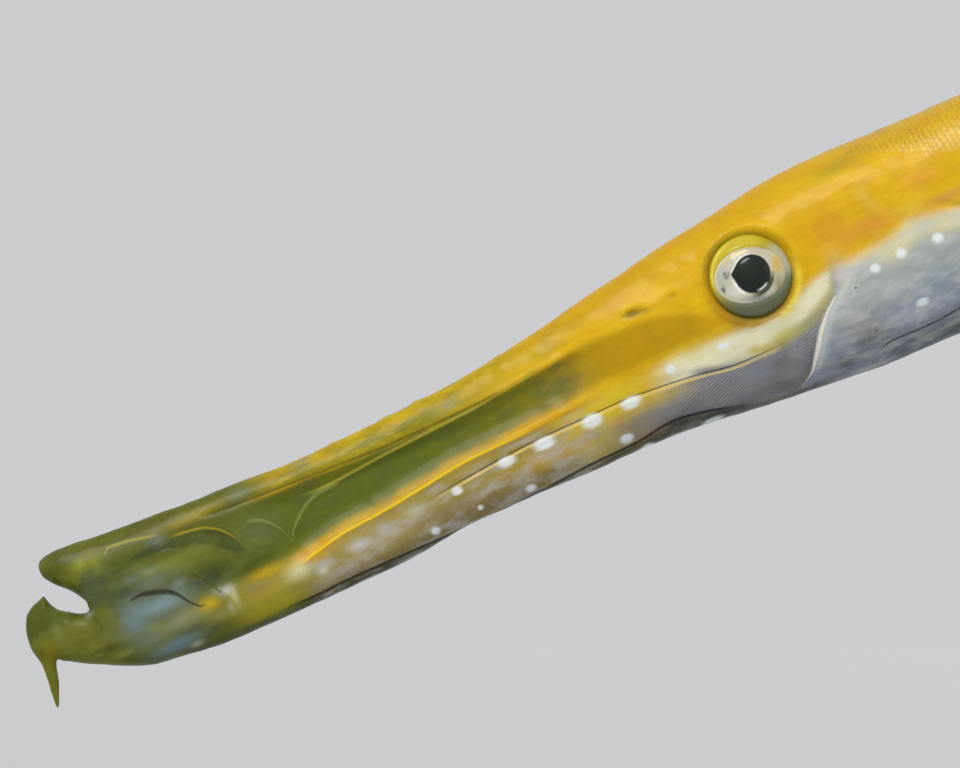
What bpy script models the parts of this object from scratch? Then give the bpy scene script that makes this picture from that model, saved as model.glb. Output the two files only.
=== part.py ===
"""A trumpetfish in its yellow phase, life size, hovering head down on a plain display stand.

Lengths are in metres. The fish is drawn in its own coordinates: s runs along the body from the chin to
the tail, h is the height above the body's axis and y is the distance from the middle. Its left is -Y.
The body is lofted through rings whose sizes come from the profiles below. Everything that sits on it,
such as the gill covers, the eyes, the fins and the rods, is placed from the same profiles.
"""

import math

import bmesh
import bpy
from mathutils import Matrix, Vector

MM = 0.001
GAP = 0.3 * MM
LEFT, RIGHT = -1, 1

# The pose: a straight head that points down to the left, and a body that eases towards level.
HEAD_PITCH = math.radians(24.5)
TAIL_PITCH = math.radians(15.5)
BEND_START = 150 * MM
FISH_LENGTH = 606 * MM
CHIN_X = -275 * MM
CHIN_Z = 29 * MM

# Profiles of the body from snout to tail stalk, as (s, size) pairs in millimetres.
BACK_LINE = [
    (6.5, 13.2), (7.0, 13.8), (8.2, 14.3), (11, 14.5), (20, 13.7), (40, 12.3), (57, 11.6), (72, 11.9),
    (90, 13.3), (110, 16.6), (130, 19.8), (150, 21.9), (175, 21.6), (250, 21.4), (330, 20.8),
    (400, 19.4), (445, 17.8), (480, 14.4), (515, 10.2), (545, 8.7), (560, 9.4),
]
BELLY_LINE = [
    (6.5, 11.2), (8.2, 9.2), (11.1, 6.2), (12.2, 3.9), (14, -2), (18, -8.2), (24, -10.6), (40, -11.5),
    (60, -11.3), (80, -10.3), (112, -10.8), (130, -12.7), (150, -14.7), (175, -15.4), (250, -16.9),
    (330, -17.1), (400, -15.2), (445, -12.4), (480, -8.4), (515, -4.2), (545, -2.7), (560, -3.4),
]
HALF_WIDTH = [
    (6.5, 1.2), (7.2, 2.1), (9, 3.1), (13, 4.2), (20, 4.9), (45, 5.2), (80, 5.4), (100, 6.6), (118, 8.3),
    (135, 9.8), (152, 10.9), (175, 11.5), (230, 12.4), (320, 12.6), (400, 11.2), (445, 9.4), (480, 7.0),
    (515, 4.6), (545, 3.2), (560, 1.7),
]
WIDEST_LINE = [
    (6.5, 12.2), (9, 11.4), (12.5, 9), (18, 3), (26, 0), (50, -3.2), (90, -2), (120, 2), (150, 3),
    (250, 2.4), (400, 2.4), (560, 3),
]
SQUARENESS = [(6.5, 2.1), (20, 2.4), (40, 3.1), (90, 2.9), (120, 2.4), (160, 2.2), (560, 2.1)]

# The hollow along each side of the snout, between an upper and a lower ridge.
HOLLOW_START, HOLLOW_END = 34 * MM, 112 * MM
HOLLOW_FADE = 14 * MM
UPPER_RIDGE = 10.6 * MM
LOWER_RIDGE = [(34, -4.2), (50, -3.6), (75, -1.3), (92, 0), (112, 0.4)]
RIDGE_FADE = 2.6 * MM
HOLLOW_SHARE = 0.3

# Where the body is parted into its lengths.
SNOUT_TIP, SNOUT_END, SKULL_END = 6.5 * MM, 104 * MM, 166 * MM
FRONT_END, MIDDLE_END, REAR_END, STALK_END = 250 * MM, 342.5 * MM, 445 * MM, 560 * MM
SNOUT_RING, SKULL_RING, TRUNK_RING, STALK_RING = 32, 40, 28, 24
SNOUT_STEP, SKULL_STEP, TRUNK_STEP, STALK_STEP = 4.5 * MM, 4 * MM, 12 * MM, 8 * MM

# The lower jaw's rings, each from a top to a bottom point (s, h) with a half width, in millimetres.
JAW_RINGS = [
    ((0.2, 4.0), (0.0, 1.6), 0.8), ((1.4, 6.3), (0.1, -0.3), 2.1), ((3.4, 7.7), (1.5, -1.4), 2.7),
    ((5.3, 8.1), (3.2, -2.0), 3.0), ((6.7, 5.9), (5.2, -3.3), 3.3), ((8.6, 4.1), (7.5, -4.8), 3.7),
    ((11, 2.8), (10, -6.1), 4.1), ((14, 2.6), (13, -7.7), 4.5), ((18, 2.0), (16, -9.0), 4.9),
    ((22, 1.0), (19, -10.0), 5.1), ((26, -0.6), (21.5, -10.6), 5.2), ((30, -2.6), (24, -11.0), 5.2),
    ((33.5, -4.6), (26, -11.3), 5.1),
]
JAW_WIDEST = 0.4
JAW_SQUARENESS = 2.6
# The space that the jaw takes out of the snout, as an outline of (s, h) points in millimetres.
JAW_SPACE = [
    (9, 3.2), (12.4, 3.2), (14, 2.95), (18, 2.35), (22, 1.35), (26, -0.25), (30, -2.2), (34.1, -4.5),
    (26.6, -11.3), (25.6, -15), (9, -15),
]

BARBEL_PATH = [(2.2, 0.2), (1.9, -1.8), (1.5, -4.4), (0.7, -7.4), (0.0, -10.0)]
BARBEL_RADII = [1.6, 1.35, 0.95, 0.6, 0.22]

# The strap of bone that closes the corner of the mouth.
MAXILLA_CENTRE = (13.4 * MM, 2.9 * MM)
MAXILLA_HALF_SIZE = (2.0 * MM, 1.9 * MM, 7.3 * MM)
MAXILLA_LEAN = math.radians(6)
MAXILLA_OUT = 3.9 * MM

# The eyes: flattened balls that look a little upwards, each in a raised rim of skin.
EYE_CENTRE = (134.2 * MM, 7.8 * MM)
EYE_RADIUS, EYE_DEPTH, EYE_OUT = 7.1 * MM, 3.5 * MM, 8.1 * MM
EYE_TILT = math.radians(9)
RIM_RADIUS, RIM_THICK = 7.3 * MM, 0.6 * MM
RIM_STEPS, RIM_SIDES = 28, 6
NOSTRILS = [(114.2 * MM, 10.8 * MM, 1.5 * MM, 0.6 * MM), (121.4 * MM, 10.8 * MM, 0.8 * MM, 0.6 * MM)]

# The gill cover's outline from the top of its front edge, back over the top, (s, h) in millimetres.
GILL_COVER = [
    (150.2, 3.4), (152.6, 8.2), (158, 10.6), (165, 8.2), (171.5, 4.0), (175.6, -1.5), (174.2, -7.5),
    (165, -11.0), (150, -12.6), (139, -12.8), (134.6, -11.9), (136.9, -9.6), (140.2, -6), (144.8, -0.9),
]
GILL_CENTRE = (156, -2.2)
GILL_THICK, GILL_EDGE_THICK = 1.1 * MM, 0.6 * MM

# The ten lone spines along the back, each with its own small membrane.
SPINE_COUNT, SPINE_FIRST, SPINE_SPACING = 10, 256 * MM, 18.4 * MM
SPINE_HEIGHT, SPINE_RADIUS, SPINE_SINK = 14 * MM, 0.7 * MM, 3 * MM
SPINE_LEAN = math.radians(48)
SPINE_MEMBRANE = 9.5 * MM

# Fins: a membrane with rays that stand out of it as ridges.
MEMBRANE_HALF, RAY_HALF, EDGE_HALF = 0.26 * MM, 0.55 * MM, 0.16 * MM
RAY_SHARE = 0.24
FIN_ROWS = 3
# Soft dorsal and anal fins: rays, base from and to, and the ray's length at shares of the base.
DORSAL = {"rays": 20, "from": 450 * MM, "to": 520 * MM}
ANAL = {"rays": 20, "from": 447 * MM, "to": 520 * MM}
MEDIAN_RAY_LENGTH = [(0, 13), (8, 27), (18, 33), (35, 29), (65, 19), (100, 12)]
MEDIAN_LEAN = (math.radians(38), math.radians(58))
TAIL_FIN = {"rays": 13, "length": 44 * MM, "spread": math.radians(34), "root_half": 5.4 * MM}
# The paired fins: their root's centre, size and tilt, and how far the rays spread, stand out and rise.
PECTORAL = {
    "rays": 11, "s": 181 * MM, "h": -4.5 * MM, "root": 6.5 * MM, "length": 25 * MM,
    "tilt": math.radians(-12), "spread": math.radians(34), "out": math.radians(24), "rise": math.radians(4),
}
PELVIC = {
    "rays": 6, "s": 333 * MM, "h": -13.2 * MM, "root": 4.5 * MM, "length": 24 * MM,
    "tilt": math.radians(-70), "spread": math.radians(17), "out": math.radians(16),
    "rise": math.radians(-14),
}

# The display stand.
BASE_SIZE = (224 * MM, 108 * MM, 12 * MM)
BASE_CORNER, BASE_BEVEL = 26 * MM, 2 * MM
ROD_RADIUS, ROD_SIDES = 3 * MM, 20
ROD_PLACES = {"stand_rod_front": 217 * MM, "stand_rod_rear": 385 * MM}
# Each rod is drawn into the belly by this much and cut along this much of it either way.
ROD_INTO_BELLY, ROD_CUT_REACH = 4 * MM, 20 * MM

COLOURS = {
    "skin_gold": ((0.80, 0.52, 0.03), 0.42, 0.0),
    "skin_olive": ((0.42, 0.40, 0.05), 0.40, 0.0),
    "skin_silver": ((0.55, 0.60, 0.62), 0.35, 0.0),
    "fin_gold": ((0.82, 0.62, 0.10), 0.45, 0.0),
    "eye": ((0.70, 0.66, 0.30), 0.12, 0.0),
    "stand_wood": ((0.16, 0.10, 0.06), 0.5, 0.0),
    "stand_steel": ((0.62, 0.63, 0.65), 0.3, 1.0),
}


def smoothstep(low, high, value):
    share = min(1.0, max(0.0, (value - low) / (high - low)))
    return share * share * (3 - 2 * share)


def at(profile, s):
    """The profile's value at s, on a smooth curve through its points that never overshoots them."""
    x = s / MM
    if x <= profile[0][0]:
        return profile[0][1] * MM
    if x >= profile[-1][0]:
        return profile[-1][1] * MM
    i = max(k for k in range(len(profile) - 1) if profile[k][0] <= x)

    def slope(k):
        if k in (0, len(profile) - 1):
            return 0.0
        (x0, y0), (x1, y1), (x2, y2) = profile[k - 1 : k + 2]
        before, after = (y1 - y0) / (x1 - x0), (y2 - y1) / (x2 - x1)
        return 0.0 if before * after <= 0 else 2 * before * after / (before + after)

    (x0, y0), (x1, y1) = profile[i], profile[i + 1]
    step = x1 - x0
    t = (x - x0) / step
    value = y0 * (1 + 2 * t) * (1 - t) ** 2 + y1 * t * t * (3 - 2 * t)
    value += step * t * (1 - t) * (slope(i) * (1 - t) - slope(i + 1) * t)
    return value * MM


def pitch(s):
    turn = max(0.0, s - BEND_START) / (FISH_LENGTH - BEND_START)
    return HEAD_PITCH - (HEAD_PITCH - TAIL_PITCH) * turn


def place(s, y, h):
    """The world point at distance s along the body, y out from its middle and h above its axis."""
    straight = min(s, BEND_START)
    x = CHIN_X + straight * math.cos(HEAD_PITCH)
    z = CHIN_Z + straight * math.sin(HEAD_PITCH)
    angle = pitch(s)
    if s > BEND_START:
        rate = (HEAD_PITCH - TAIL_PITCH) / (FISH_LENGTH - BEND_START)
        x += (math.sin(HEAD_PITCH) - math.sin(angle)) / rate
        z += (math.cos(angle) - math.cos(HEAD_PITCH)) / rate
    return Vector((x - h * math.sin(angle), y, z + h * math.cos(angle)))


def direction(s, along, out, up):
    """A world direction from its share along the body, out from its middle and up from its axis."""
    angle = pitch(s)
    return Vector(
        (
            along * math.cos(angle) - up * math.sin(angle),
            out,
            along * math.sin(angle) + up * math.cos(angle),
        )
    )


def hollow(s, h):
    """The share of its width that the snout loses to the hollow along its side."""
    along = smoothstep(HOLLOW_START, HOLLOW_START + HOLLOW_FADE, s)
    along *= 1 - smoothstep(HOLLOW_END - HOLLOW_FADE, HOLLOW_END, s)
    low = at(LOWER_RIDGE, s)
    across = smoothstep(low, low + RIDGE_FADE, h)
    across *= 1 - smoothstep(UPPER_RIDGE - RIDGE_FADE, UPPER_RIDGE, h)
    return HOLLOW_SHARE * along * across


def flank(s, h, grow=0.0):
    """The body's half width at s and h, of a body grown all round by that much."""
    widest = at(WIDEST_LINE, s)
    reach = at(BACK_LINE, s) + grow - widest if h > widest else widest - at(BELLY_LINE, s) + grow
    share = min(1.0, abs(h - widest) / reach)
    power = at(SQUARENESS, s) / MM
    return (at(HALF_WIDTH, s) + grow) * (1 - share**power) ** (1 / power) * (1 - hollow(s, h))


def superellipse(index, count, power):
    """The (out, up) shares of one of count points round a superellipse."""
    angle = 2 * math.pi * index / count
    out, up = math.cos(angle), math.sin(angle)
    return (
        math.copysign(abs(out) ** (2 / power), out),
        math.copysign(abs(up) ** (2 / power), up),
    )


def body_ring(s, count, grow=0.0):
    widest, power = at(WIDEST_LINE, s), at(SQUARENESS, s) / MM
    above, below = at(BACK_LINE, s) + grow - widest, widest - at(BELLY_LINE, s) + grow
    ring = []
    for index in range(count):
        out, up = superellipse(index, count, power)
        h = widest + up * (above if up > 0 else below)
        ring.append(place(s, math.copysign(flank(s, h, grow), out) if abs(out) > 1e-6 else 0.0, h))
    return ring


def jaw_ring(top, bottom, half_width, count, grow=0.0):
    """A ring round the line from a top to a bottom point of the lower jaw."""
    top, bottom = Vector(top) * MM, Vector(bottom) * MM
    up = (top - bottom).normalized()
    top, bottom = top + up * grow, bottom - up * grow
    middle = bottom.lerp(top, JAW_WIDEST)
    ring = []
    for index in range(count):
        out, rise = superellipse(index, count, JAW_SQUARENESS)
        point = middle.lerp(top, rise) if rise > 0 else middle.lerp(bottom, -rise)
        ring.append(place(point.x, out * (half_width * MM + grow), point.y))
    return ring


def new_object(name, bm, colour, collection):
    bmesh.ops.recalc_face_normals(bm, faces=bm.faces)
    mesh = bpy.data.meshes.new(name)
    bm.to_mesh(mesh)
    bm.free()
    piece = bpy.data.objects.new(name, mesh)
    collection.objects.link(piece)
    mesh.materials.append(material(colour))
    mesh.shade_smooth()
    mesh.set_sharp_from_angle(angle=math.radians(40))
    return piece


def material(name):
    """The named Principled material, made the first time that it is asked for."""
    found = bpy.data.materials.get(name)
    if found:
        return found
    colour, roughness, metallic = COLOURS[name]
    made = bpy.data.materials.new(name)
    made.use_nodes = True
    shader = made.node_tree.nodes["Principled BSDF"]
    shader.inputs["Base Color"].default_value = (*colour, 1)
    shader.inputs["Roughness"].default_value = roughness
    shader.inputs["Metallic"].default_value = metallic
    made.diffuse_color = (*colour, 1)
    return made


def loft(name, rings, colour, collection):
    """One closed body through rings of equally many points, with a flat cap on each end."""
    bm = bmesh.new()
    loops = [[bm.verts.new(point) for point in ring] for ring in rings]
    for first, second in zip(loops, loops[1:]):
        for k in range(len(first)):
            after = (k + 1) % len(first)
            bm.faces.new((first[k], first[after], second[after], second[k]))
    bm.faces.new(loops[0])
    bm.faces.new(loops[-1])
    return new_object(name, bm, colour, collection)


def stations(start, end, step):
    count = max(2, round((end - start) / step) + 1)
    return [start + (end - start) * k / (count - 1) for k in range(count)]


def sheet(name, grid, colour, collection):
    """A thin closed body from a grid of (centre, normal, half thickness), split alike on both faces."""
    bm = bmesh.new()
    rows, columns = len(grid), len(grid[0])
    faces = []
    for side in (1, -1):
        faces.append([[bm.verts.new(c + n * (t * side)) for c, n, t in row] for row in grid])
    for verts in faces:
        for i in range(rows - 1):
            for j in range(columns - 1):
                a, b = verts[i][j], verts[i][j + 1]
                c, d = verts[i + 1][j + 1], verts[i + 1][j]
                bm.faces.new((a, b, c))
                bm.faces.new((a, c, d))
    rim = [(0, j) for j in range(columns)] + [(i, columns - 1) for i in range(1, rows)]
    rim += [(rows - 1, j) for j in range(columns - 2, -1, -1)] + [(i, 0) for i in range(rows - 2, 0, -1)]
    front, back = faces
    for (i, j), (k, m) in zip(rim, rim[1:] + rim[:1]):
        bm.faces.new((front[i][j], front[k][m], back[k][m], back[i][j]))
    return new_object(name, bm, colour, collection)


def apply_boolean(piece, operation, other=None, collection=None):
    """Cuts the piece by another or joins it with a collection, and keeps the result as its mesh."""
    modifier = piece.modifiers.new("boolean", "BOOLEAN")
    modifier.operation = operation
    modifier.solver = "EXACT"
    if collection:
        modifier.operand_type = "COLLECTION"
        modifier.collection = collection
    else:
        modifier.object = other
    graph = bpy.context.evaluated_depsgraph_get()
    graph.update()
    result = bpy.data.meshes.new_from_object(piece.evaluated_get(graph))
    piece.modifiers.clear()
    piece.data = result


def join_with(piece, collection):
    """Fuses a collection's bodies with the piece, and removes the collection."""
    apply_boolean(piece, "UNION", collection=collection)
    for joined in list(collection.objects):
        bpy.data.objects.remove(joined)
    bpy.data.collections.remove(collection)
    keep_largest(piece)


def keep_largest(piece):
    """Drops loose scraps: only the connected surface with the most area stays."""
    bm = bmesh.new()
    bm.from_mesh(piece.data)
    left, islands = set(bm.faces), []
    while left:
        island, edge_of = set(), [left.pop()]
        while edge_of:
            face = edge_of.pop()
            island.add(face)
            for neighbour in {f for e in face.edges for f in e.link_faces} & left:
                left.discard(neighbour)
                edge_of.append(neighbour)
        islands.append(island)
    islands.sort(key=lambda island: sum(face.calc_area() for face in island))
    scraps = [face for island in islands[:-1] for face in island]
    bmesh.ops.delete(bm, geom=scraps, context="FACES")
    bm.to_mesh(piece.data)
    bm.free()


def ellipsoid(name, centre, radii, colour, collection, segments=24, rings=14, tilt=None):
    """An ellipsoid whose third axis is its poles' axis, turned by a matrix."""
    bm = bmesh.new()
    bmesh.ops.create_uvsphere(bm, u_segments=segments, v_segments=rings, radius=1)
    turn = (tilt or Matrix.Identity(3)).to_4x4()
    placed = Matrix.Translation(centre) @ turn @ Matrix.Diagonal((*radii, 1))
    bmesh.ops.transform(bm, matrix=placed, verts=bm.verts)
    return new_object(name, bm, colour, collection)


def body_axes(s):
    """A matrix that turns X along the body, Y out from it and Z up from its axis, at s."""
    return Matrix.Rotation(-pitch(s), 3, "Y")


def make_body_length(name, start, end, step, count, colour, grow=0.0, collection=None):
    rings = [body_ring(s, count, grow) for s in stations(start, end, step)]
    return loft(name, rings, colour, collection or parts)


def make_snout(grow=0.0, name="snout", collection=None):
    """The snout tube with the upper jaw at its tip, whose rings lie closer together."""
    nose_length, nose_rings = 13 * MM, 10
    nose = [SNOUT_TIP - grow + nose_length * (k / nose_rings) ** 1.5 for k in range(nose_rings)]
    along = nose + stations(SNOUT_TIP + nose_length, SNOUT_END, SNOUT_STEP)
    rings = [body_ring(s, SNOUT_RING, grow) for s in along]
    return loft(name, rings, "skin_olive", collection or parts)


def make_lower_jaw(grow=0.0, name="lower_jaw", collection=None):
    rings = [jaw_ring(*size, SNOUT_RING, grow) for size in JAW_RINGS]
    return loft(name, rings, "skin_olive", collection or parts)


def outline_cutter(name, outline, half_width):
    """A prism across the fish with the given side outline."""
    bm = bmesh.new()
    sides = []
    for y in (-half_width, half_width):
        sides.append([bm.verts.new(place(s * MM, y, h * MM)) for s, h in outline])
    for side in sides:
        bm.faces.new(side)
    for k in range(len(outline)):
        after = (k + 1) % len(outline)
        bm.faces.new((sides[0][k], sides[0][after], sides[1][after], sides[1][k]))
    return as_cutter(new_object(name, bm, "skin_olive", cutters))


def as_cutter(piece):
    piece.hide_render = True
    piece.display_type = "WIRE"
    return piece


def make_barbel(jaw_cutter):
    """The fleshy barbel that hangs from the chin: a tapering tube cut to fit under the jaw."""
    curve = bpy.data.curves.new("chin_barbel", "CURVE")
    curve.dimensions = "3D"
    curve.bevel_depth = 1.0
    curve.bevel_resolution = 3
    curve.use_fill_caps = True
    spline = curve.splines.new("POLY")
    spline.points.add(len(BARBEL_PATH) - 1)
    for point, (s, h), radius in zip(spline.points, BARBEL_PATH, BARBEL_RADII):
        point.co = (*place(s * MM, 0, h * MM), 1)
        point.radius = radius * MM
    drawn = bpy.data.objects.new("barbel_path", curve)
    cutters.objects.link(drawn)
    bpy.context.view_layer.update()
    graph = bpy.context.evaluated_depsgraph_get()
    bm = bmesh.new()
    bm.from_mesh(bpy.data.meshes.new_from_object(drawn.evaluated_get(graph)))
    bmesh.ops.remove_doubles(bm, verts=bm.verts, dist=0.01 * MM)
    bpy.data.objects.remove(drawn)
    barbel = new_object("chin_barbel", bm, "skin_olive", parts)
    apply_boolean(barbel, "DIFFERENCE", jaw_cutter)
    keep_largest(barbel)


def make_maxilla(side, snout_cutter, jaw_cutter):
    """The strap of bone that closes the corner of the mouth, cut to lie on the snout and the jaw."""
    s, h = MAXILLA_CENTRE
    lean = body_axes(s) @ Matrix.Rotation(-MAXILLA_LEAN, 3, "Y")
    name = "maxilla_left" if side == LEFT else "maxilla_right"
    centre = place(s, side * MAXILLA_OUT, h)
    strap = ellipsoid(name, centre, MAXILLA_HALF_SIZE, "skin_olive", parts, 14, 10, lean)
    for cutter in (snout_cutter, jaw_cutter):
        apply_boolean(strap, "DIFFERENCE", cutter)
    keep_largest(strap)


def make_eye(side, grow=0.0, name=None, collection=None):
    """A flattened eyeball that stands a little out of the head."""
    s, h = EYE_CENTRE
    radii = (EYE_RADIUS + grow, EYE_RADIUS + grow, EYE_DEPTH + grow)
    facing = body_axes(s) @ Matrix.Rotation(math.radians(90) + side * EYE_TILT, 3, "X")
    name = name or ("eye_left" if side == LEFT else "eye_right")
    centre = place(s, side * EYE_OUT, h)
    return ellipsoid(name, centre, radii, "eye", collection or parts, 22, 10, facing)


def make_eye_rim(side, collection):
    """The raised ring of skin round an eye: a torus whose flat plane is bent onto the head's side."""
    bpy.ops.mesh.primitive_torus_add(
        major_radius=RIM_RADIUS, minor_radius=RIM_THICK, major_segments=RIM_STEPS, minor_segments=RIM_SIDES
    )
    ring = bpy.context.object
    bm = bmesh.new()
    bm.from_mesh(ring.data)
    bpy.data.objects.remove(ring)
    s, h = EYE_CENTRE
    for vert in bm.verts:
        vert.co = on_skin(s + vert.co.x, h + vert.co.y, side, vert.co.z)
    new_object(f"eye_rim_{side}", bm, "skin_gold", collection)


def make_head():
    """The skull and cheeks, with rimmed sockets for the eyes and two nostrils on each side."""
    head = make_body_length("head", SNOUT_END + GAP, SKULL_END, SKULL_STEP, SKULL_RING, "skin_gold")
    rims = bpy.data.collections.new("eye_rims")
    bpy.context.scene.collection.children.link(rims)
    for side in (LEFT, RIGHT):
        make_eye_rim(side, rims)
    join_with(head, rims)
    for side in (LEFT, RIGHT):
        socket = as_cutter(make_eye(side, GAP, f"socket_{side}", cutters))
        apply_boolean(head, "DIFFERENCE", socket)
        for s, h, half_length, half_height in NOSTRILS:
            centre = place(s, side * flank(s, h), h)
            radii = (half_length, 1.2 * MM, half_height)
            pit = ellipsoid(f"nostril_{side}_{s:.3f}", centre, radii, "eye", cutters, 10, 8, body_axes(s))
            apply_boolean(head, "DIFFERENCE", as_cutter(pit))


def on_skin(s, h, side, out):
    """The point that stands out from the body's surface by that much, along its normal."""
    step = 0.5 * MM
    along = (flank(s + step, h) - flank(s - step, h)) / (2 * step)
    rise = (flank(s, h + step) - flank(s, h - step)) / (2 * step)
    normal = direction(s, -along, side, -rise).normalized()
    return place(s, side * flank(s, h), h) + normal * out


def make_gill_cover(side):
    """A domed plate over the gills, thickest in its middle, that lies on the head's side."""
    name = "gill_cover_left" if side == LEFT else "gill_cover_right"
    rows = 5
    centre = Vector(GILL_CENTRE)
    bm = bmesh.new()
    layers = []
    for layer in (0, 1):
        loops = []
        for row in range(1, rows + 1):
            share = row / rows
            thick = GILL_EDGE_THICK + (GILL_THICK - GILL_EDGE_THICK) * (1 - share**3)
            out = GAP + thick * layer
            points = [centre.lerp(Vector(corner), share) * MM for corner in gill_outline()]
            loops.append([bm.verts.new(on_skin(p.x, p.y, side, out)) for p in points])
        hub = bm.verts.new(on_skin(centre.x * MM, centre.y * MM, side, GAP + GILL_THICK * layer))
        layers.append((hub, loops))
    for hub, loops in layers:
        count = len(loops[0])
        for k in range(count):
            after = (k + 1) % count
            bm.faces.new((hub, loops[0][k], loops[0][after]))
            for inner, outer in zip(loops, loops[1:]):
                bm.faces.new((inner[k], outer[k], outer[after]))
                bm.faces.new((inner[k], outer[after], inner[after]))
    below, above = layers[0][1][-1], layers[1][1][-1]
    for k in range(len(below)):
        after = (k + 1) % len(below)
        bm.faces.new((below[k], below[after], above[after], above[k]))
    return new_object(name, bm, "skin_silver", parts)


def gill_outline():
    """The gill cover's outline with a point added between each two, on a smooth curve."""
    corners = [Vector(corner) for corner in GILL_COVER]
    count = len(corners)
    points = []
    for k, corner in enumerate(corners):
        before, after, beyond = corners[k - 1], corners[(k + 1) % count], corners[(k + 2) % count]
        points += [corner, (corner + after) * 0.5625 - (before + beyond) * 0.0625]
    return points


def make_trunk(name, start, end, spines):
    """A length of the trunk, with the lone dorsal spines that grow from it."""
    trunk = make_body_length(name, start + GAP, end, TRUNK_STEP, TRUNK_RING, "skin_gold")
    growing = [s for s in spines if start < s < end]
    if not growing:
        return trunk
    roots = bpy.data.collections.new(f"spines_of_{name}")
    bpy.context.scene.collection.children.link(roots)
    for s in growing:
        make_spine(s, roots)
    join_with(trunk, roots)
    return trunk


def make_spine(s, collection):
    """One spine that leans back, with a membrane down its rear edge, sunk into the back."""
    back = at(BACK_LINE, s)
    middle = (SPINE_FIRST + SPINE_SPACING * (SPINE_COUNT - 1) / 2 - s) / (SPINE_SPACING * SPINE_COUNT)
    height = SPINE_HEIGHT * (1 - 0.5 * middle**2)
    normal = Vector((0, 1, 0))
    grid = []
    for share in (0.0, 0.35, 0.7, 1.0):
        up = (height + SPINE_SINK) * share - SPINE_SINK
        shaft = s + up * math.tan(SPINE_LEAN)
        reach = SPINE_MEMBRANE * max(0.0, 1 - max(0.0, up) / height) ** 0.8
        radius = SPINE_RADIUS * (1 - 0.75 * share)
        line = []
        for ahead, thick in [(-radius, 0.3), (0, 1.0), (radius, 0.45), (radius + reach + 0.2 * MM, 0.3)]:
            line.append((place(shaft + ahead, 0, back + up), normal, max(radius * thick, 0.2 * MM)))
        grid.append(line)
    return sheet(f"spine_{s:.3f}", grid, "fin_gold", collection)


def ray_columns(rays):
    """(share, is a ray) for each column of a fin: every ray's crest, and the membrane beside it."""
    columns = []
    beside = RAY_SHARE / (rays - 1)
    for k in range(rays):
        share = k / (rays - 1)
        if k > 0:
            columns.append((share - beside, False))
        columns.append((share, True))
        if k < rays - 1:
            columns.append((share + beside, False))
    return columns


def fin(name, rays, root_at, tip_at, normal):
    """A fin whose rays run from root_at(share) to tip_at(share), with its thickness along normal."""
    grid = []
    for row in range(FIN_ROWS + 1):
        reach = row / FIN_ROWS
        line = []
        for share, is_ray in ray_columns(rays):
            centre = root_at(share).lerp(tip_at(share), reach)
            root_half = RAY_HALF if is_ray else MEMBRANE_HALF
            half = root_half + (EDGE_HALF - root_half) * reach**2
            line.append((centre, normal, half))
        grid.append(line)
    return sheet(name, grid, "fin_gold", parts)


def make_median_fin(name, size, edge_line, up):
    """The soft dorsal fin (up is 1) or the anal fin (up is -1), whose front rays are longest."""

    def base(share):
        return size["from"] + (size["to"] - size["from"]) * share

    def root_at(share):
        s = base(share)
        return place(s, 0, at(edge_line, s) + up * GAP)

    def tip_at(share):
        s = base(share)
        length = at(MEDIAN_RAY_LENGTH, share * 100 * MM)
        lean = MEDIAN_LEAN[0] + (MEDIAN_LEAN[1] - MEDIAN_LEAN[0]) * share
        return root_at(share) + direction(s, math.sin(lean), 0, up * math.cos(lean)) * length

    return fin(name, size["rays"], root_at, tip_at, Vector((0, 1, 0)))


def make_tail_fin():
    """The small rounded tail fin, a fan of rays from the end of the tail stalk."""
    s = STALK_END + GAP
    middle = (at(BACK_LINE, STALK_END) + at(BELLY_LINE, STALK_END)) / 2

    def root_at(share):
        return place(s, 0, middle + TAIL_FIN["root_half"] * (2 * share - 1))

    def tip_at(share):
        swing = 2 * share - 1
        angle = TAIL_FIN["spread"] * swing
        length = TAIL_FIN["length"] * (1 - 0.26 * abs(swing) ** 1.5)
        return root_at(share) + direction(s, math.cos(angle), 0, math.sin(angle)) * length

    return fin("tail_fin", TAIL_FIN["rays"], root_at, tip_at, Vector((0, 1, 0)))


def make_paired_fin(name, size, side):
    """A pectoral or pelvic fin: a fan that stands out from the side and trails backwards."""
    s0, h0, tilt = size["s"], size["h"], size["tilt"]
    trail = direction(s0, math.cos(size["out"]), side * math.sin(size["out"]), 0)
    upward = direction(s0, math.sin(tilt), 0, math.cos(tilt))
    normal = trail.cross(upward).normalized()

    def root_at(share):
        offset = size["root"] * (share - 0.5)
        s, h = s0 + offset * math.sin(tilt), h0 + offset * math.cos(tilt)
        return on_skin(s, h, side, GAP + RAY_HALF)

    def tip_at(share):
        angle = size["spread"] * (2 * share - 1) + size["rise"]
        length = size["length"] * (1 - 0.25 * abs(2 * share - 1.1) ** 1.6)
        return root_at(share) + (trail * math.cos(angle) + upward * math.sin(angle)) * length

    return fin(name, size["rays"], root_at, tip_at, normal)


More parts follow.
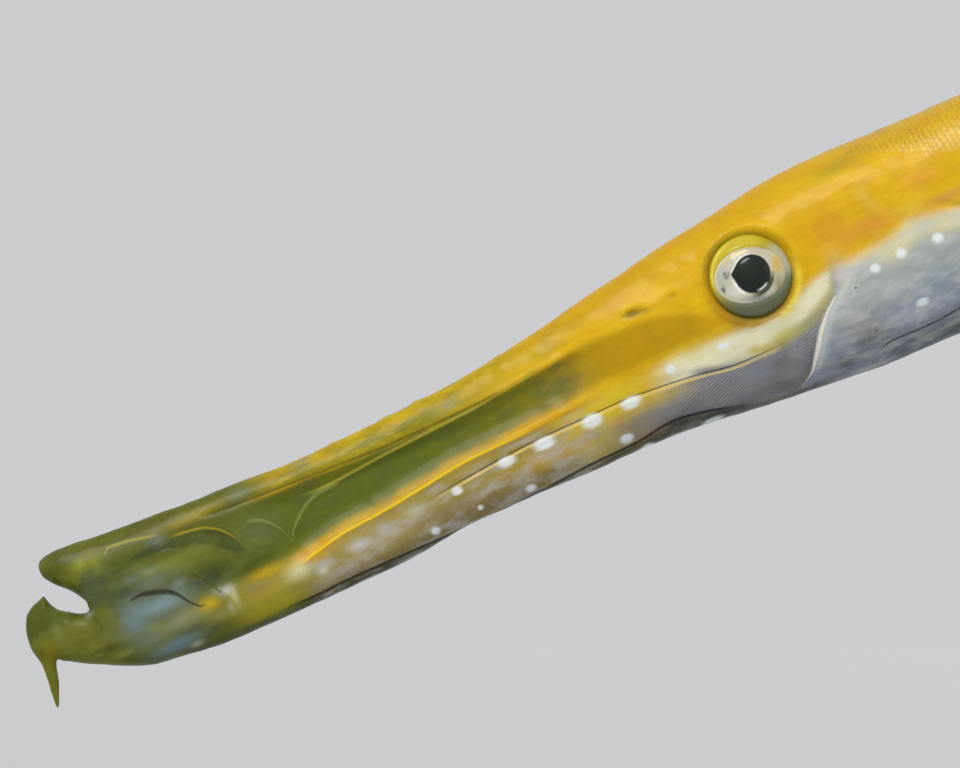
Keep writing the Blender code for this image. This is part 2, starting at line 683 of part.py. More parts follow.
def make_stand():
    """A flat base with rounded corners and two rods, each cut to fit under the belly."""
    length, width, height = BASE_SIZE
    bm = bmesh.new()
    bmesh.ops.create_cube(bm, size=1)
    bmesh.ops.transform(bm, matrix=Matrix.Diagonal((length, width, height, 1)), verts=bm.verts)
    bmesh.ops.translate(bm, vec=(0, 0, height / 2), verts=bm.verts)
    upright = [e for e in bm.edges if abs(e.verts[0].co.z - e.verts[1].co.z) > height / 2]
    bmesh.ops.bevel(bm, geom=upright, offset=BASE_CORNER, segments=6, profile=0.5, affect="EDGES")
    rim = [e for e in bm.edges if min(v.co.z for v in e.verts) > height - 1e-6]
    bmesh.ops.bevel(bm, geom=rim, offset=BASE_BEVEL, segments=3, profile=0.5, affect="EDGES")
    new_object("stand_base", bm, "stand_wood", parts)
    for name, s in ROD_PLACES.items():
        start, end = s - ROD_CUT_REACH, s + ROD_CUT_REACH
        belly = make_body_length("belly", start, end, TRUNK_STEP, TRUNK_RING, "skin_gold", GAP, cutters)
        foot, top = height + GAP, place(s, 0, at(BELLY_LINE, s) + ROD_INTO_BELLY)
        upright = Matrix.Translation((top.x, 0, (top.z + foot) / 2))
        bm = bmesh.new()
        bmesh.ops.create_cone(
            bm, cap_ends=True, segments=ROD_SIDES, radius1=ROD_RADIUS, radius2=ROD_RADIUS,
            depth=top.z - foot, matrix=upright,
        )
        rod = new_object(name, bm, "stand_steel", parts)
        apply_boolean(rod, "DIFFERENCE", as_cutter(belly))
        keep_largest(rod)


def make_fish():
    snout = make_snout()
    apply_boolean(snout, "DIFFERENCE", outline_cutter("jaw_space", JAW_SPACE, 12 * MM))
    keep_largest(snout)
    make_lower_jaw()
    snout_cutter = as_cutter(make_snout(GAP, "snout_grown", cutters))
    jaw_cutter = as_cutter(make_lower_jaw(GAP, "jaw_grown", cutters))
    make_barbel(jaw_cutter)
    make_head()
    for side in (LEFT, RIGHT):
        make_maxilla(side, snout_cutter, jaw_cutter)
        make_eye(side)
        make_gill_cover(side)
    spines = [SPINE_FIRST + SPINE_SPACING * k for k in range(SPINE_COUNT)]
    make_trunk("trunk_front", SKULL_END, FRONT_END, spines)
    make_trunk("trunk_middle", FRONT_END, MIDDLE_END, spines)
    make_trunk("trunk_rear", MIDDLE_END, REAR_END, spines)
    make_body_length("tail_stalk", REAR_END + GAP, STALK_END, STALK_STEP, STALK_RING, "skin_gold")
    make_median_fin("dorsal_fin", DORSAL, BACK_LINE, 1)
    make_median_fin("anal_fin", ANAL, BELLY_LINE, -1)
    make_tail_fin()
    for side, word in ((LEFT, "left"), (RIGHT, "right")):
        make_paired_fin(f"pectoral_fin_{word}", PECTORAL, side)
        make_paired_fin(f"pelvic_fin_{word}", PELVIC, side)


for leftover in list(bpy.data.objects):
    bpy.data.objects.remove(leftover)
parts = bpy.data.collections.new("trumpetfish")
cutters = bpy.data.collections.new("cutters")
for made_collection in (parts, cutters):
    bpy.context.scene.collection.children.link(made_collection)
make_fish()
make_stand()
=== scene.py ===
# %% [markdown]
# # A trumpetfish on a display stand
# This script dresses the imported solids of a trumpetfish, a long reef fish that is mostly snout and hovers
# head down. The solids already have its size, its pose and its stand. What follows gives it a skin with
# the relief and colours of a live fish in its yellow phase, small scales, glossy eyes and thin fins.

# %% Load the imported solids
import math

import bmesh
import bpy
import numpy as np
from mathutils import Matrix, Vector


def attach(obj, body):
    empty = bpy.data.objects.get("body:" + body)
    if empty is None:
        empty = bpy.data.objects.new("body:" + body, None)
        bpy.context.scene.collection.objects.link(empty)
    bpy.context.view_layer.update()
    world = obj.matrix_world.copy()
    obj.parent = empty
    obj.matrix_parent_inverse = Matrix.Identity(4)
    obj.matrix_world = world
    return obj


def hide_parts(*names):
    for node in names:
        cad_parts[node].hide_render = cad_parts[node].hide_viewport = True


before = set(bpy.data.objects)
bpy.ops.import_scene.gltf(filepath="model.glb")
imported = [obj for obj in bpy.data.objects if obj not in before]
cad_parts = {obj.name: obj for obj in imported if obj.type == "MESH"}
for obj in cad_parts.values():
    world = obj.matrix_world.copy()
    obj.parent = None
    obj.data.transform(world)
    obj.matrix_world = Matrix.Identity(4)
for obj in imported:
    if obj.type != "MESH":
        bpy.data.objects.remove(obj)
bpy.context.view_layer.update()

print("solids loaded:", len(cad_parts), "nodes")

# %% [markdown]
# ## The body's own coordinates
# A fish that is held at a slant and bends a little is awkward to draw in world coordinates. It is easier
# to say how far along the body a thing lies (s), how far above the body's axis (h) and how far out to the
# side (y), all in millimetres. One function turns such a place into a point in metres, and a second one
# turns it back. The numbers are those of the solids, so whatever is drawn here fits them.

# %% Body coordinates
MM = 0.001
LEFT, RIGHT = -1, 1
HEAD_PITCH, TAIL_PITCH = math.radians(24.5), math.radians(15.5)
BEND_START, FISH_LENGTH = 150.0, 606.0
CHIN_X, CHIN_Z = -275.0, 29.0
BEND_RATE = (HEAD_PITCH - TAIL_PITCH) / (FISH_LENGTH - BEND_START)


def pitch_at(s):
    """The body's upward angle at the places s."""
    return HEAD_PITCH - BEND_RATE * np.maximum(s - BEND_START, 0.0)


def place(s, y, h):
    """Points in metres for places on the body in millimetres, as an array whose last axis is x, y, z."""
    pitch = pitch_at(s)
    straight = np.minimum(s, BEND_START)
    x = CHIN_X + straight * math.cos(HEAD_PITCH) + (math.sin(HEAD_PITCH) - np.sin(pitch)) / BEND_RATE
    z = CHIN_Z + straight * math.sin(HEAD_PITCH) + (np.cos(pitch) - math.cos(HEAD_PITCH)) / BEND_RATE
    x, z = x - h * np.sin(pitch), z + h * np.cos(pitch)
    return np.stack(np.broadcast_arrays(x, y, z), axis=-1) * MM


def body_place(points):
    """The places (s, y, h) in millimetres of points in metres: the other way round."""
    x, y, z = np.moveaxis(np.asarray(points) / MM, -1, 0)
    cos, sin = math.cos(HEAD_PITCH), math.sin(HEAD_PITCH)
    s = (x - CHIN_X) * cos + (z - CHIN_Z) * sin
    h = (z - CHIN_Z) * cos - (x - CHIN_X) * sin
    hub_x = CHIN_X + BEND_START * cos + sin / BEND_RATE
    hub_z = CHIN_Z + BEND_START * sin - cos / BEND_RATE
    bent_h = np.hypot(x - hub_x, z - hub_z) - 1 / BEND_RATE
    bent_s = BEND_START + (HEAD_PITCH - np.arctan2(hub_x - x, z - hub_z)) / BEND_RATE
    bent = s > BEND_START
    return np.where(bent, bent_s, s), y, np.where(bent, bent_h, h)


def direction(s, along, out, up):
    """A unit direction from its shares along the body, out to the side and up from the axis."""
    pitch = pitch_at(s)
    parts = (along * np.cos(pitch) - up * np.sin(pitch), out, along * np.sin(pitch) + up * np.cos(pitch))
    vector = np.stack(np.broadcast_arrays(*parts), axis=-1)
    return vector / np.linalg.norm(vector, axis=-1, keepdims=True)


print("chin:", place(0, 0, 0), "tail:", place(FISH_LENGTH, 0, 0))

# %% [markdown]
# ## The camera's place
# The photograph looks at the fish's left side from three degrees below level, with a long lens. The
# camera is fixed first, because the marks on the head were measured in that view: a mark on the cheek
# is drawn where the camera sees it, so each place on the side is also given its place as seen.

# %% Camera numbers and the seen place
AIM = np.array([-0.20086, 0.0, 0.07428])
CAMERA_DISTANCE, CAMERA_ELEVATION = 0.8, math.radians(-3)
CAMERA = AIM + CAMERA_DISTANCE * np.array([0, -math.cos(CAMERA_ELEVATION), math.sin(CAMERA_ELEVATION)])
FRAME_WIDTH, SENSOR_WIDTH = 0.16, 36.0


def seen_place(points):
    """Where (s, h) the camera sees points on the near side, or the twins of points on the far side."""
    near = points * np.array([1, 0, 1]) - np.abs(points) * np.array([0, 1, 0])
    reach = CAMERA[1] / (CAMERA[1] - near[..., 1])
    on_middle = CAMERA + (near - CAMERA) * reach[..., None]
    s, _, h = body_place(on_middle)
    return s, h


print("camera at", CAMERA.round(3))

# %% [markdown]
# ## Profiles
# The body is described by a few curves along it: the line of the back, the line of the belly, the half
# width, the height at which it is widest and how square its section is. Each is a short list of
# (s, size) pairs, read on a smooth curve that never overshoots its points, so no bulge appears by chance.
# On the head, the back and belly points were picked from the photograph's outline, measured in pixels and
# turned into these millimetres. Behind the head they are guessed.

# %% Profiles of the body
BACK_LINE = [
    (6.5, 13.2), (7.0, 13.8), (8.2, 14.3), (11, 14.5), (20, 13.7), (40, 12.3), (57, 11.6), (72, 11.9),
    (90, 13.3), (110, 16.6), (130, 19.8), (150, 21.9), (175, 21.6), (250, 21.4), (330, 20.8), (400, 19.4),
    (445, 17.8), (480, 14.4), (515, 10.2), (545, 8.7), (560, 9.4),
]
BELLY_LINE = [
    (6.5, 11.2), (8.2, 9.2), (11.1, 6.2), (12.2, 3.9), (14, -2), (18, -8.2), (24, -10.6), (40, -11.5),
    (60, -11.3), (80, -10.3), (112, -10.8), (130, -12.7), (150, -14.7), (175, -15.4), (250, -16.9),
    (330, -17.1), (400, -15.2), (445, -12.4), (480, -8.4), (515, -4.2), (545, -2.7), (560, -3.4),
]
HALF_WIDTH = [
    (6.5, 1.2), (7.2, 2.1), (9, 3.1), (13, 4.2), (20, 4.9), (45, 5.2), (80, 5.4), (100, 6.6), (118, 8.3),
    (135, 9.8), (152, 10.9), (175, 11.5), (230, 12.4), (320, 12.6), (400, 11.2), (445, 9.4), (480, 7.0),
    (515, 4.6), (545, 3.2), (560, 1.7),
]
WIDEST_LINE = [
    (6.5, 12.2), (9, 11.4), (12.5, 9), (18, 3), (26, 0), (50, -3.2), (90, -2), (120, 2), (150, 3),
    (250, 2.4), (400, 2.4), (560, 3),
]
SQUARENESS = [(6.5, 2.1), (20, 2.4), (40, 3.1), (90, 2.9), (120, 2.4), (160, 2.2), (560, 2.1)]


def smooth(profile, s):
    """The profile's values at the places s, on a smooth curve through its points."""
    at, size = np.array(profile, float).T
    step = np.diff(at)
    rate = np.diff(size) / step
    before, after = rate[:-1], rate[1:]
    slope = np.zeros(len(at))
    same = before * after > 0
    slope[1:-1][same] = 2 * before[same] * after[same] / (before + after)[same]
    s = np.clip(s, at[0], at[-1])
    k = np.clip(np.searchsorted(at, s, side="right") - 1, 0, len(step) - 1)
    t = (s - at[k]) / step[k]
    value = size[k] * (1 + 2 * t) * (1 - t) ** 2 + size[k + 1] * t * t * (3 - 2 * t)
    return value + step[k] * t * (1 - t) * (slope[k] * (1 - t) - slope[k + 1] * t)


def rise(x, low, high):
    """Goes smoothly from 0 at low to 1 at high."""
    t = np.clip((x - low) / (high - low), 0, 1)
    return t * t * (3 - 2 * t)


def span(s, start, end, fade):
    """Is 1 between two places along the body, and fades to 0 within that length outside them."""
    return rise(s, start - fade, start) * (1 - rise(s, end, end + fade))


def near(offset, half):
    """Is 1 on a line and falls off softly over its half width."""
    return np.exp(-((offset / half) ** 2))


print("deepest at the nape:", round(float(smooth(BACK_LINE, 150) - smooth(BELLY_LINE, 150)), 1), "mm")

# %% [markdown]
# ## Lines on the head
# A trumpetfish's snout is a tube of long thin bones, and their edges show through the skin as ridges and
# grooves. Each is a curve that gives a height for every place along the head, or, for the steep ones, a place
# along the head for every height. The relief, the colours and the fine drawn lines all read these same
# curves, so a ridge and its bright edge can't drift apart. Most points were read on the photograph, in
# pixels, and worked out as millimetres of the body from there.

# %% Curves of the head's ridges and grooves
LOWER_RIDGE = [(44, -4.8), (50, -3.7), (56, -2.6), (62, -2.2), (70, -1.3), (80, -0.2), (90, 0.0), (106, 0.9)]
UPPER_RIDGE = [
    (34, 9.6), (46, 7.0), (55, 5.6), (61, 5.9), (66, 6.3), (74, 6.7), (82, 7.1), (90, 8.0), (106, 8.9)
]
STRIP_EDGE = [
    (20, 11.0), (34, 9.6), (46, 8.7), (55, 8.2), (62, 7.8), (70, 7.5), (83, 7.6), (96, 8.7), (106, 9.4)
]
MUSTARD_TOP = [(84, 7.6), (96, 8.3), (101, 9.2), (106, 9.4), (111, 9.1), (117, 8.6), (122, 7.3), (128, 4.0)]
JAW_LINE = [
    (60, -4.6), (65, -4.1), (70, -3.6), (77, -2.9), (84, -2.3), (92, -1.9), (100, -1.9), (106, -1.9),
    (113, -2.4), (120, -3.2), (127, -4.3), (132, -4.4),
]
UNDER_EDGE = [
    (33, -10.0), (46, -10.3), (54, -10.1), (65, -10.2), (75, -10.4), (88, -10.0), (98, -9.4), (105, -9.3),
    (113, -8.5), (118, -9.2), (124, -10.7), (134, -12.4),
]
CHEEK_EDGE = [
    (117, -1.6), (124, -3.3), (130, -4.4), (133.5, -4.8), (137, -4.5), (140.7, -3.5), (143, -2.5),
    (145.6, -0.9), (148.6, 3.4),
]
GOLD_EDGE = [
    (96, -1.0), (106, 0.0), (118, 1.6), (126, 1.2), (134, 0.3), (138, 0.9), (141, 2.4), (147, 3.9),
    (153, 4.1), (159, 4.7), (163, 6.0), (171, 4.6), (185, 3.6), (220, 2.0), (300, -1.0), (420, -5.0),
    (470, -9.0),
]
GILL_LOW_LINE = [(147, -12.6), (152, -11.4), (158, -11.6), (164, -11.2), (172, -9.0)]
SLIT = [(18, 1.7), (20, 1.9), (22, 1.5), (24, 0.8), (25.4, 0.0), (26.4, -1.2), (27.4, -2.7), (28.9, -4.0)]
CRESCENT_TOP = [(20, 8.2), (25, 8.7), (29.4, 8.4), (33.7, 7.8), (36.7, 6.2), (38.6, 3.8), (39.6, 1.6)]
CRESCENT_LOW = [(20, 7.7), (26.6, 7.0), (31.6, 5.7), (36, 3.1), (38.5, 1.2), (39.6, 0.8)]
LENS_LINE = [(29, 1.7), (30, 1.0), (31.3, -0.6), (32.8, -3.2)]
CHEEK_FOLD = [(46.8, -0.6), (47.6, 0.8), (49, 2.2), (51.3, 4.0), (54.4, 5.1), (58, 5.2)]
CLEAR_FOLD = [(41, 5.6), (43.3, 5.1), (45.1, 3.6), (46.3, 1.8), (46.9, -0.6)]
CHIN_FOLD = [(3.9, -1.7), (7, -2.9), (10.3, -4.4), (15, -7.1), (20, -8.6)]
YELLOW_SEAM = [(17.5, 10.4), (18.5, 11.3), (21.7, 11.0), (25.7, 10.1), (28, 9.7)]

# The steep curves, as (h, s) pairs.
COVER_FRONT = [
    (-12.4, 134.4), (-11.3, 136.7), (-10.0, 138.1), (-7.6, 139.9), (-5.6, 141.3), (-3.8, 142.8),
    (-2.3, 144.3), (-1.5, 145.4), (0.6, 147.6), (3.4, 149.4),
]
COVER_REAR = [(-12, 160), (-9.5, 170), (-5, 175), (-1.5, 175.6), (2, 173.6), (5, 170.0), (9, 163.5)]
STRAP_FRONT = [(-4.2, 12.0), (0.8, 12.2), (2.2, 11.9), (7.1, 11.9), (11.8, 13.6)]
STRAP_REAR = [(-4.2, 16.6), (-0.6, 15.7), (1.6, 15.2), (6.9, 15.0), (10.5, 15.8), (11.8, 16.5)]

EYE_CENTRE, EYE_RADIUS, EYE_DEPTH, EYE_OUT = (134.2, 7.8), 7.1, 3.5, 8.1
EYE_TILT = math.radians(9)
NOSTRILS = [(114.2, 10.9, 1.6, 0.55, 0.6), (121.4, 10.7, 0.8, 0.5, 0.2)]  # s, h, half sizes and depth

NAPE_SCALES = [(146, 25), (160, 18.6), (165, 16.8), (169, 14.4), (176, 12.5), (184, 3), (190, -30)]
CURVES = [LOWER_RIDGE, UPPER_RIDGE, STRIP_EDGE, MUSTARD_TOP, JAW_LINE, UNDER_EDGE, CHEEK_EDGE, GOLD_EDGE]
print("points in the long curves:", sum(len(curve) for curve in CURVES))

# %% [markdown]
# ## The relief of the skin
# The skin of the head lies tight over bone, so it has a long hollow down each side of the snout, raised
# bony edges, a rim round the eye, a domed gill cover and, behind the mouth, a thin cheek that folds. All
# of it could be sculpted by hand. Here it is one function that says how far the skin stands above the
# plain loft at each place, because a function can be read, changed and used again for the colours.

# %% Relief in millimetres
def eye_distance(s, h):
    return np.hypot(s - EYE_CENTRE[0], h - EYE_CENTRE[1])


def patch(s, h, centre, half_size):
    """Is 1 in the middle of an oval and falls off softly past its half sizes."""
    return np.exp(-(((s - centre[0]) / half_size[0]) ** 2) - ((h - centre[1]) / half_size[1]) ** 2)


def on_cover(s, h):
    """Is 1 on the gill cover and 0 off it."""
    soft = 0.9 + 2.4 * rise(h, -3.5, 1.5)
    inside = rise((s - smooth(COVER_FRONT, h)) / soft, -0.35, 0.9)
    inside = inside * (1 - rise(s - smooth(COVER_REAR, h), -1.0, 0.2))
    return inside * rise(h, -13.2, -10.0) * (1 - rise(h, -2.0, 5.5))


def snout_relief(s, h):
    low, high = smooth(LOWER_RIDGE, s), smooth(STRIP_EDGE, s)
    hollow = rise(h, low - 0.2, low + 4.0) * (1 - rise(h, high - 2.8, high + 0.3))
    out = -1.35 * hollow * span(s, 52, 96, 14)
    out += 0.2 * near(h - low, 0.35) * span(s, 49, 100, 5)
    out += 0.20 * near(h - smooth(UPPER_RIDGE, s), 0.5) * span(s, 56, 100, 5)
    out -= 0.22 * near(h - high, 0.5) * span(s, 38, 84, 5)
    jaw = h - smooth(JAW_LINE, s)
    out += (0.14 * near(jaw + 0.6, 0.35) - 0.2 * near(jaw, 0.3)) * span(s, 76, 128, 6)
    out -= 0.22 * near(h - smooth(UNDER_EDGE, s), 0.45) * span(s, 44, 122, 6)
    for bump_s in (59.8, 69.6, 75.2, 90.5):
        out += 0.22 * patch(s, h, (bump_s, 12.0), (1.1, 1.6))
    return out


def mouth_relief(s, h):
    out = -0.6 * near(h - smooth(SLIT, s), 0.38) * span(s, 19.5, 28.4, 1.4)
    crescent = rise(h, smooth(CRESCENT_LOW, s) - 0.3, smooth(CRESCENT_LOW, s) + 0.5)
    crescent *= 1 - rise(h, smooth(CRESCENT_TOP, s) - 0.5, smooth(CRESCENT_TOP, s) + 0.3)
    out -= 0.2 * crescent * span(s, 22.5, 38.5, 2)
    out -= 0.5 * patch(s, h, (31.2, -0.6), (3.0, 1.5))
    out += 0.3 * near(h - smooth(LENS_LINE, s), 0.5) * span(s, 29.5, 32.4, 0.8)
    out += 0.4 * patch(s, h, (22.5, -1.6), (4.0, 1.6)) + 0.35 * patch(s, h, (27.5, 3.9), (5.0, 1.5))
    out += 0.5 * patch(s, h, (46.4, -5.6), (3.0, 1.7)) + 0.35 * patch(s, h, (32.0, -3.9), (2.2, 1.6))
    out += 0.16 * near(h - smooth(CHEEK_FOLD, s), 0.5) * span(s, 47.6, 56, 1.5)
    out += 0.18 * near(h - smooth(CLEAR_FOLD, s), 0.5) * span(s, 42, 46.5, 1)
    out += 0.15 * near(h - smooth(YELLOW_SEAM, s), 0.45) * span(s, 18.5, 26, 1.5)
    return out - 0.2 * near(h - smooth(CHIN_FOLD, s), 0.45) * span(s, 5, 18, 2)


def head_relief(s, h):
    out = 0.85 * on_cover(s, h)
    out -= 0.3 * near(s - smooth(COVER_FRONT, h) + 0.4, 0.7) * span(h, -9.8, -1.5, 2.5)
    out -= 0.5 * near(s - smooth(COVER_REAR, h) - 0.6, 0.9) * span(h, -9.5, 5, 3)
    out -= 0.2 * near(h - smooth(GILL_LOW_LINE, s), 0.4) * span(s, 153, 168, 4)
    out -= 0.2 * near(h - smooth(CHEEK_EDGE, s), 0.8) * span(s, 126, 142, 4)
    for centre_s, centre_h, half_length, half_height, depth in NOSTRILS:
        out -= depth * patch(s, h, (centre_s, centre_h), (half_length, half_height))
        out += 0.2 * depth * patch(
            s, h, (centre_s - 0.3, centre_h + 0.1), (half_length + 1.0, half_height + 0.8)
        )
    out += 0.4 * patch(s, h, (148, 15.5), (14, 4.0)) - 0.3 * patch(s, h, (120, 13.5), (10, 2.2))
    out += 0.5 * patch(s, h, (181, -4.5), (4, 4)) + 0.5 * patch(s, h, (332, -13), (5, 3))
    return out


def eye_socket(s, h):
    """A rim of skin round the eye, inside which the skin dips under the eyeball's edge."""
    r = eye_distance(s, h)
    return 0.35 * near(r - 8.2, 0.8) - 0.75 * (1 - rise(r, 6.7, 7.8)) - 3.3 * (1 - rise(r, 5.0, 6.8))


print(
    "relief at the lower ridge:", round(float(snout_relief(np.array(75.0), smooth(LOWER_RIDGE, 75.0))), 2),
    "mm"
)

# %% [markdown]
# ## The skin's loft
# The body could be a subdivided cage, but its sections follow a rule: each is a rounded, slightly squared
# oval. So the loft is computed ring by ring, with points set evenly round each ring. Rings are close on
# the head, which has the finest relief, and wider apart behind it. The last few millimetres of the
# tail's stalk are rounded off. Every point then moves along its normal by the relief, plus a very small
# unevenness, since no animal is as smooth as its drawing.

# %% Rings of the loft
SKIN_INSET = 0.15
RING_POINTS = 75
TAIL_ROUND, ROUND_LENGTH = 555.4, 4.6  # from here the tail's stalk is rounded off, up to its end
ROUND_STEPS = np.array([0, 0.2, 0.4, 0.58, 0.73, 0.84, 0.92, 0.97, 1.0])


def ring_places():
    nose = 6.5 + 9.5 * np.linspace(0, 1, 28) ** 1.5
    face = np.arange(16.42, 178, 0.42)
    gaps = np.minimum(0.42 + 0.06 * np.arange(200), 2.5)
    trunk = face[-1] + np.cumsum(gaps)
    return np.concatenate(
        [nose, face, trunk[trunk < TAIL_ROUND - 0.5], TAIL_ROUND + ROUND_LENGTH * ROUND_STEPS]
    )


def tail_round(s):
    """Is 1 along the body and shrinks over its last few millimetres, as a quarter of an ellipse does."""
    return np.sqrt(np.clip(1 - (np.maximum(s - TAIL_ROUND, 0) / ROUND_LENGTH) ** 2, 0.04, 1))


def half_rings(s, count):
    """(y, h) of points from the back down one side to the belly, evenly spaced, for rings at the places s."""
    turn = np.linspace(0, math.pi, 481)[None, :]
    s = s[:, None]
    widest, power = smooth(WIDEST_LINE, s), smooth(SQUARENESS, s)
    shrink = tail_round(s)
    middle = (smooth(BACK_LINE, s) + smooth(BELLY_LINE, s)) / 2
    widest = middle + (widest - middle) * shrink
    above = middle + (smooth(BACK_LINE, s) - middle) * shrink - widest
    below = widest - middle - (smooth(BELLY_LINE, s) - middle) * shrink
    up = np.cos(turn)
    h = widest + np.sign(up) * np.abs(up) ** (2 / power) * np.where(up > 0, above, below)
    y = smooth(HALF_WIDTH, s) * shrink * np.abs(np.sin(turn)) ** (2 / power)
    run = np.cumsum(np.hypot(np.diff(y, axis=1), np.diff(h, axis=1)), axis=1)
    run = np.concatenate([np.zeros_like(s), run], axis=1)
    even_y, even_h = np.empty((len(s), count)), np.empty((len(s), count))
    for row, lengths in enumerate(run):
        even = np.linspace(0, lengths[-1], count)
        even_y[row], even_h[row] = np.interp(even, lengths, y[row]), np.interp(even, lengths, h[row])
    even_y[:, [0, -1]] = 0
    return even_y, even_h


def whole_rings(s, count):
    """Points in metres and outward normals of whole rings: down the left side and up the right."""
    y, h = half_rings(s, count)
    y, h = np.hstack([-y, y[:, -2:0:-1]]), np.hstack([h, h[:, -2:0:-1]])
    points = place(s[:, None], y, h)
    along = np.gradient(points, axis=0)
    across = np.roll(points, -1, axis=1) - np.roll(points, 1, axis=1)
    normals = np.cross(across, along)
    normals /= np.linalg.norm(normals, axis=-1, keepdims=True)
    return points, normals


def unevenness(points):
    """A faint swell of the surface, in millimetres, from a few crossed waves."""
    x, y, z = np.moveaxis(points / MM, -1, 0)
    wave = np.sin(x * 0.31 + 1.7 * np.sin(z * 0.23)) + np.sin(z * 0.47 + 1.3 * np.sin(x * 0.19 + 2))
    return 0.05 * wave + 0.03 * np.sin(x * 1.1 + y * 0.6 + 2 * np.sin(z * 0.8))


def raised_rings(s, count, inset):
    """Whole rings with the relief added, as points, normals and an inset that starts behind the head."""
    points, normals = whole_rings(s, count)
    true_s, _, true_h = body_place(points)
    seen_s, seen_h = seen_place(points)
    lift = snout_relief(seen_s, seen_h) + mouth_relief(seen_s, seen_h) + head_relief(seen_s, seen_h)
    lift += eye_socket(true_s, true_h) + unevenness(points) - inset * rise(true_s, 140, 175)
    return points + normals * (lift * MM)[..., None], normals


skin_points, ring_normals = raised_rings(ring_places(), RING_POINTS, SKIN_INSET)
print(
    "rings:", skin_points.shape[0], "of", skin_points.shape[1], "points; outward:",
    ring_normals[300, 37].round(2)
)

# %% [markdown]
# ## One skin for the whole fish
# The lower jaw, the chin's barbel and the strap of bone at each corner of the mouth are shapes of their
# own on a real fish too, but one skin runs over them all. Each is made as a closed body that sinks into
# the next, and one Boolean union fuses them, so no seam shows and the surface stays closed.

# %% Parts of the skin
JAW_RINGS = [
    ((0.2, 4.0), (0.0, 1.6), 0.8), ((1.4, 6.3), (0.1, -0.3), 2.1), ((3.4, 7.7), (1.5, -1.4), 2.7),
    ((4.7, 8.1), (2.6, -1.8), 2.9), ((5.5, 8.4), (3.3, -2.1), 3.0), ((5.9, 7.2), (3.9, -2.6), 3.1),
    ((6.6, 5.7), (5.1, -3.3), 3.3), ((8.6, 4.1), (7.5, -4.8), 3.7), ((11, 2.8), (10, -6.1), 4.1),
    ((14, 2.6), (13, -7.7), 4.4), ((18, 2.0), (16, -9.0), 4.5), ((22, 1.0), (19, -9.9), 4.3),
    ((26, -1.0), (22, -10.3), 4.0), ((29, -4.0), (25, -10.0), 3.0),
]
JAW_WIDEST, JAW_SQUARENESS = 0.4, 2.6
BARBEL_PATH = [(2.7, 2.0), (2.2, 0.2), (1.9, -1.8), (1.5, -4.4), (0.7, -7.4), (0.0, -10.0)]
BARBEL_RADII = [1.5, 1.75, 1.4, 1.0, 0.65, 0.2]
STRAP_CENTRE, STRAP_OUT, STRAP_LEAN = (13.7, 3.2), 3.75, math.radians(-4)
STRAP_HALF_SIZE = (1.9, 1.2, 7.6)


def through(rows, steps):
    """A smooth run of rows of numbers through the given ones, as many steps between each two."""
    rows = np.array(rows, float)
    at = np.arange(len(rows))
    fine = np.linspace(0, len(rows) - 1, (len(rows) - 1) * steps + 1)
    return np.stack([smooth(list(zip(at, column)), fine) for column in rows.T], axis=-1)


def mesh_points(mesh):
    flat = np.empty(len(mesh.vertices) * 3)
    mesh.vertices.foreach_get("co", flat)
    return flat.reshape(-1, 3)


def face_outward(piece):
    """Turns a closed piece's faces outward, by the sign of its volume."""
    mesh = piece.data
    mesh.calc_loop_triangles()
    corners = np.empty(len(mesh.loop_triangles) * 3, dtype=np.int64)
    mesh.loop_triangles.foreach_get("vertices", corners)
    a, b, c = np.moveaxis(mesh_points(mesh)[corners.reshape(-1, 3)], 1, 0)
    if np.einsum("ij,ij->", a, np.cross(b, c)) < 0:
        mesh.flip_normals()


def closed_loft(name, rings):
    """A closed mesh object through rings of points, with a middle point on each end."""
    rows, count = rings.shape[:2]
    ends = np.stack([rings[0].mean(axis=0), rings[-1].mean(axis=0)])
    verts = np.concatenate([rings.reshape(-1, 3), ends])
    k = np.arange(count)
    after = (k + 1) % count
    start = (np.arange(rows - 1) * count)[:, None]
    sides = np.stack(
        np.broadcast_arrays(start + k, start + count + k, start + count + after, start + after), axis=-1
    )
    last, first_hub, last_hub = (rows - 1) * count, rows * count, rows * count + 1
    caps = [(first_hub, a, b) for a, b in zip(k, after)] + [
        (last_hub, last + b, last + a) for a, b in zip(k, after)
    ]
    mesh = bpy.data.meshes.new(name)
    mesh.from_pydata(
        verts.tolist(), [], sides.reshape(-1, 4).tolist() + [tuple(map(int, cap)) for cap in caps]
    )
    piece = bpy.data.objects.new(name, mesh)
    bpy.context.scene.collection.objects.link(piece)
    face_outward(piece)
    return piece


def oval_rings(centres, outs, ups, count, power):
    """Rings of superellipses from their centres and half-axis vectors."""
    turn = np.linspace(0, 2 * math.pi, count, endpoint=False)
    cos, sin = np.cos(turn), np.sin(turn)
    across = (np.sign(cos) * np.abs(cos) ** (2 / power))[None, :, None]
    upward = (np.sign(sin) * np.abs(sin) ** (2 / power))[None, :, None]
    return centres[:, None, :] + across * outs[:, None, :] + upward * ups[:, None, :]


def make_jaw():
    rows = through([(*top, *bottom, half) for top, bottom, half in JAW_RINGS], 5)
    top, bottom = place(rows[:, 0], 0, rows[:, 1]), place(rows[:, 2], 0, rows[:, 3])
    middle = bottom + (top - bottom) * JAW_WIDEST
    out = np.zeros_like(middle)
    out[:, 1] = rows[:, 4] * MM
    upper = oval_rings(middle, out, top - middle, 64, JAW_SQUARENESS)
    lower = oval_rings(middle, out, middle - bottom, 64, JAW_SQUARENESS)
    return closed_loft("jaw", np.where(np.arange(64)[None, :, None] < 32, upper, lower)[:, ::-1])


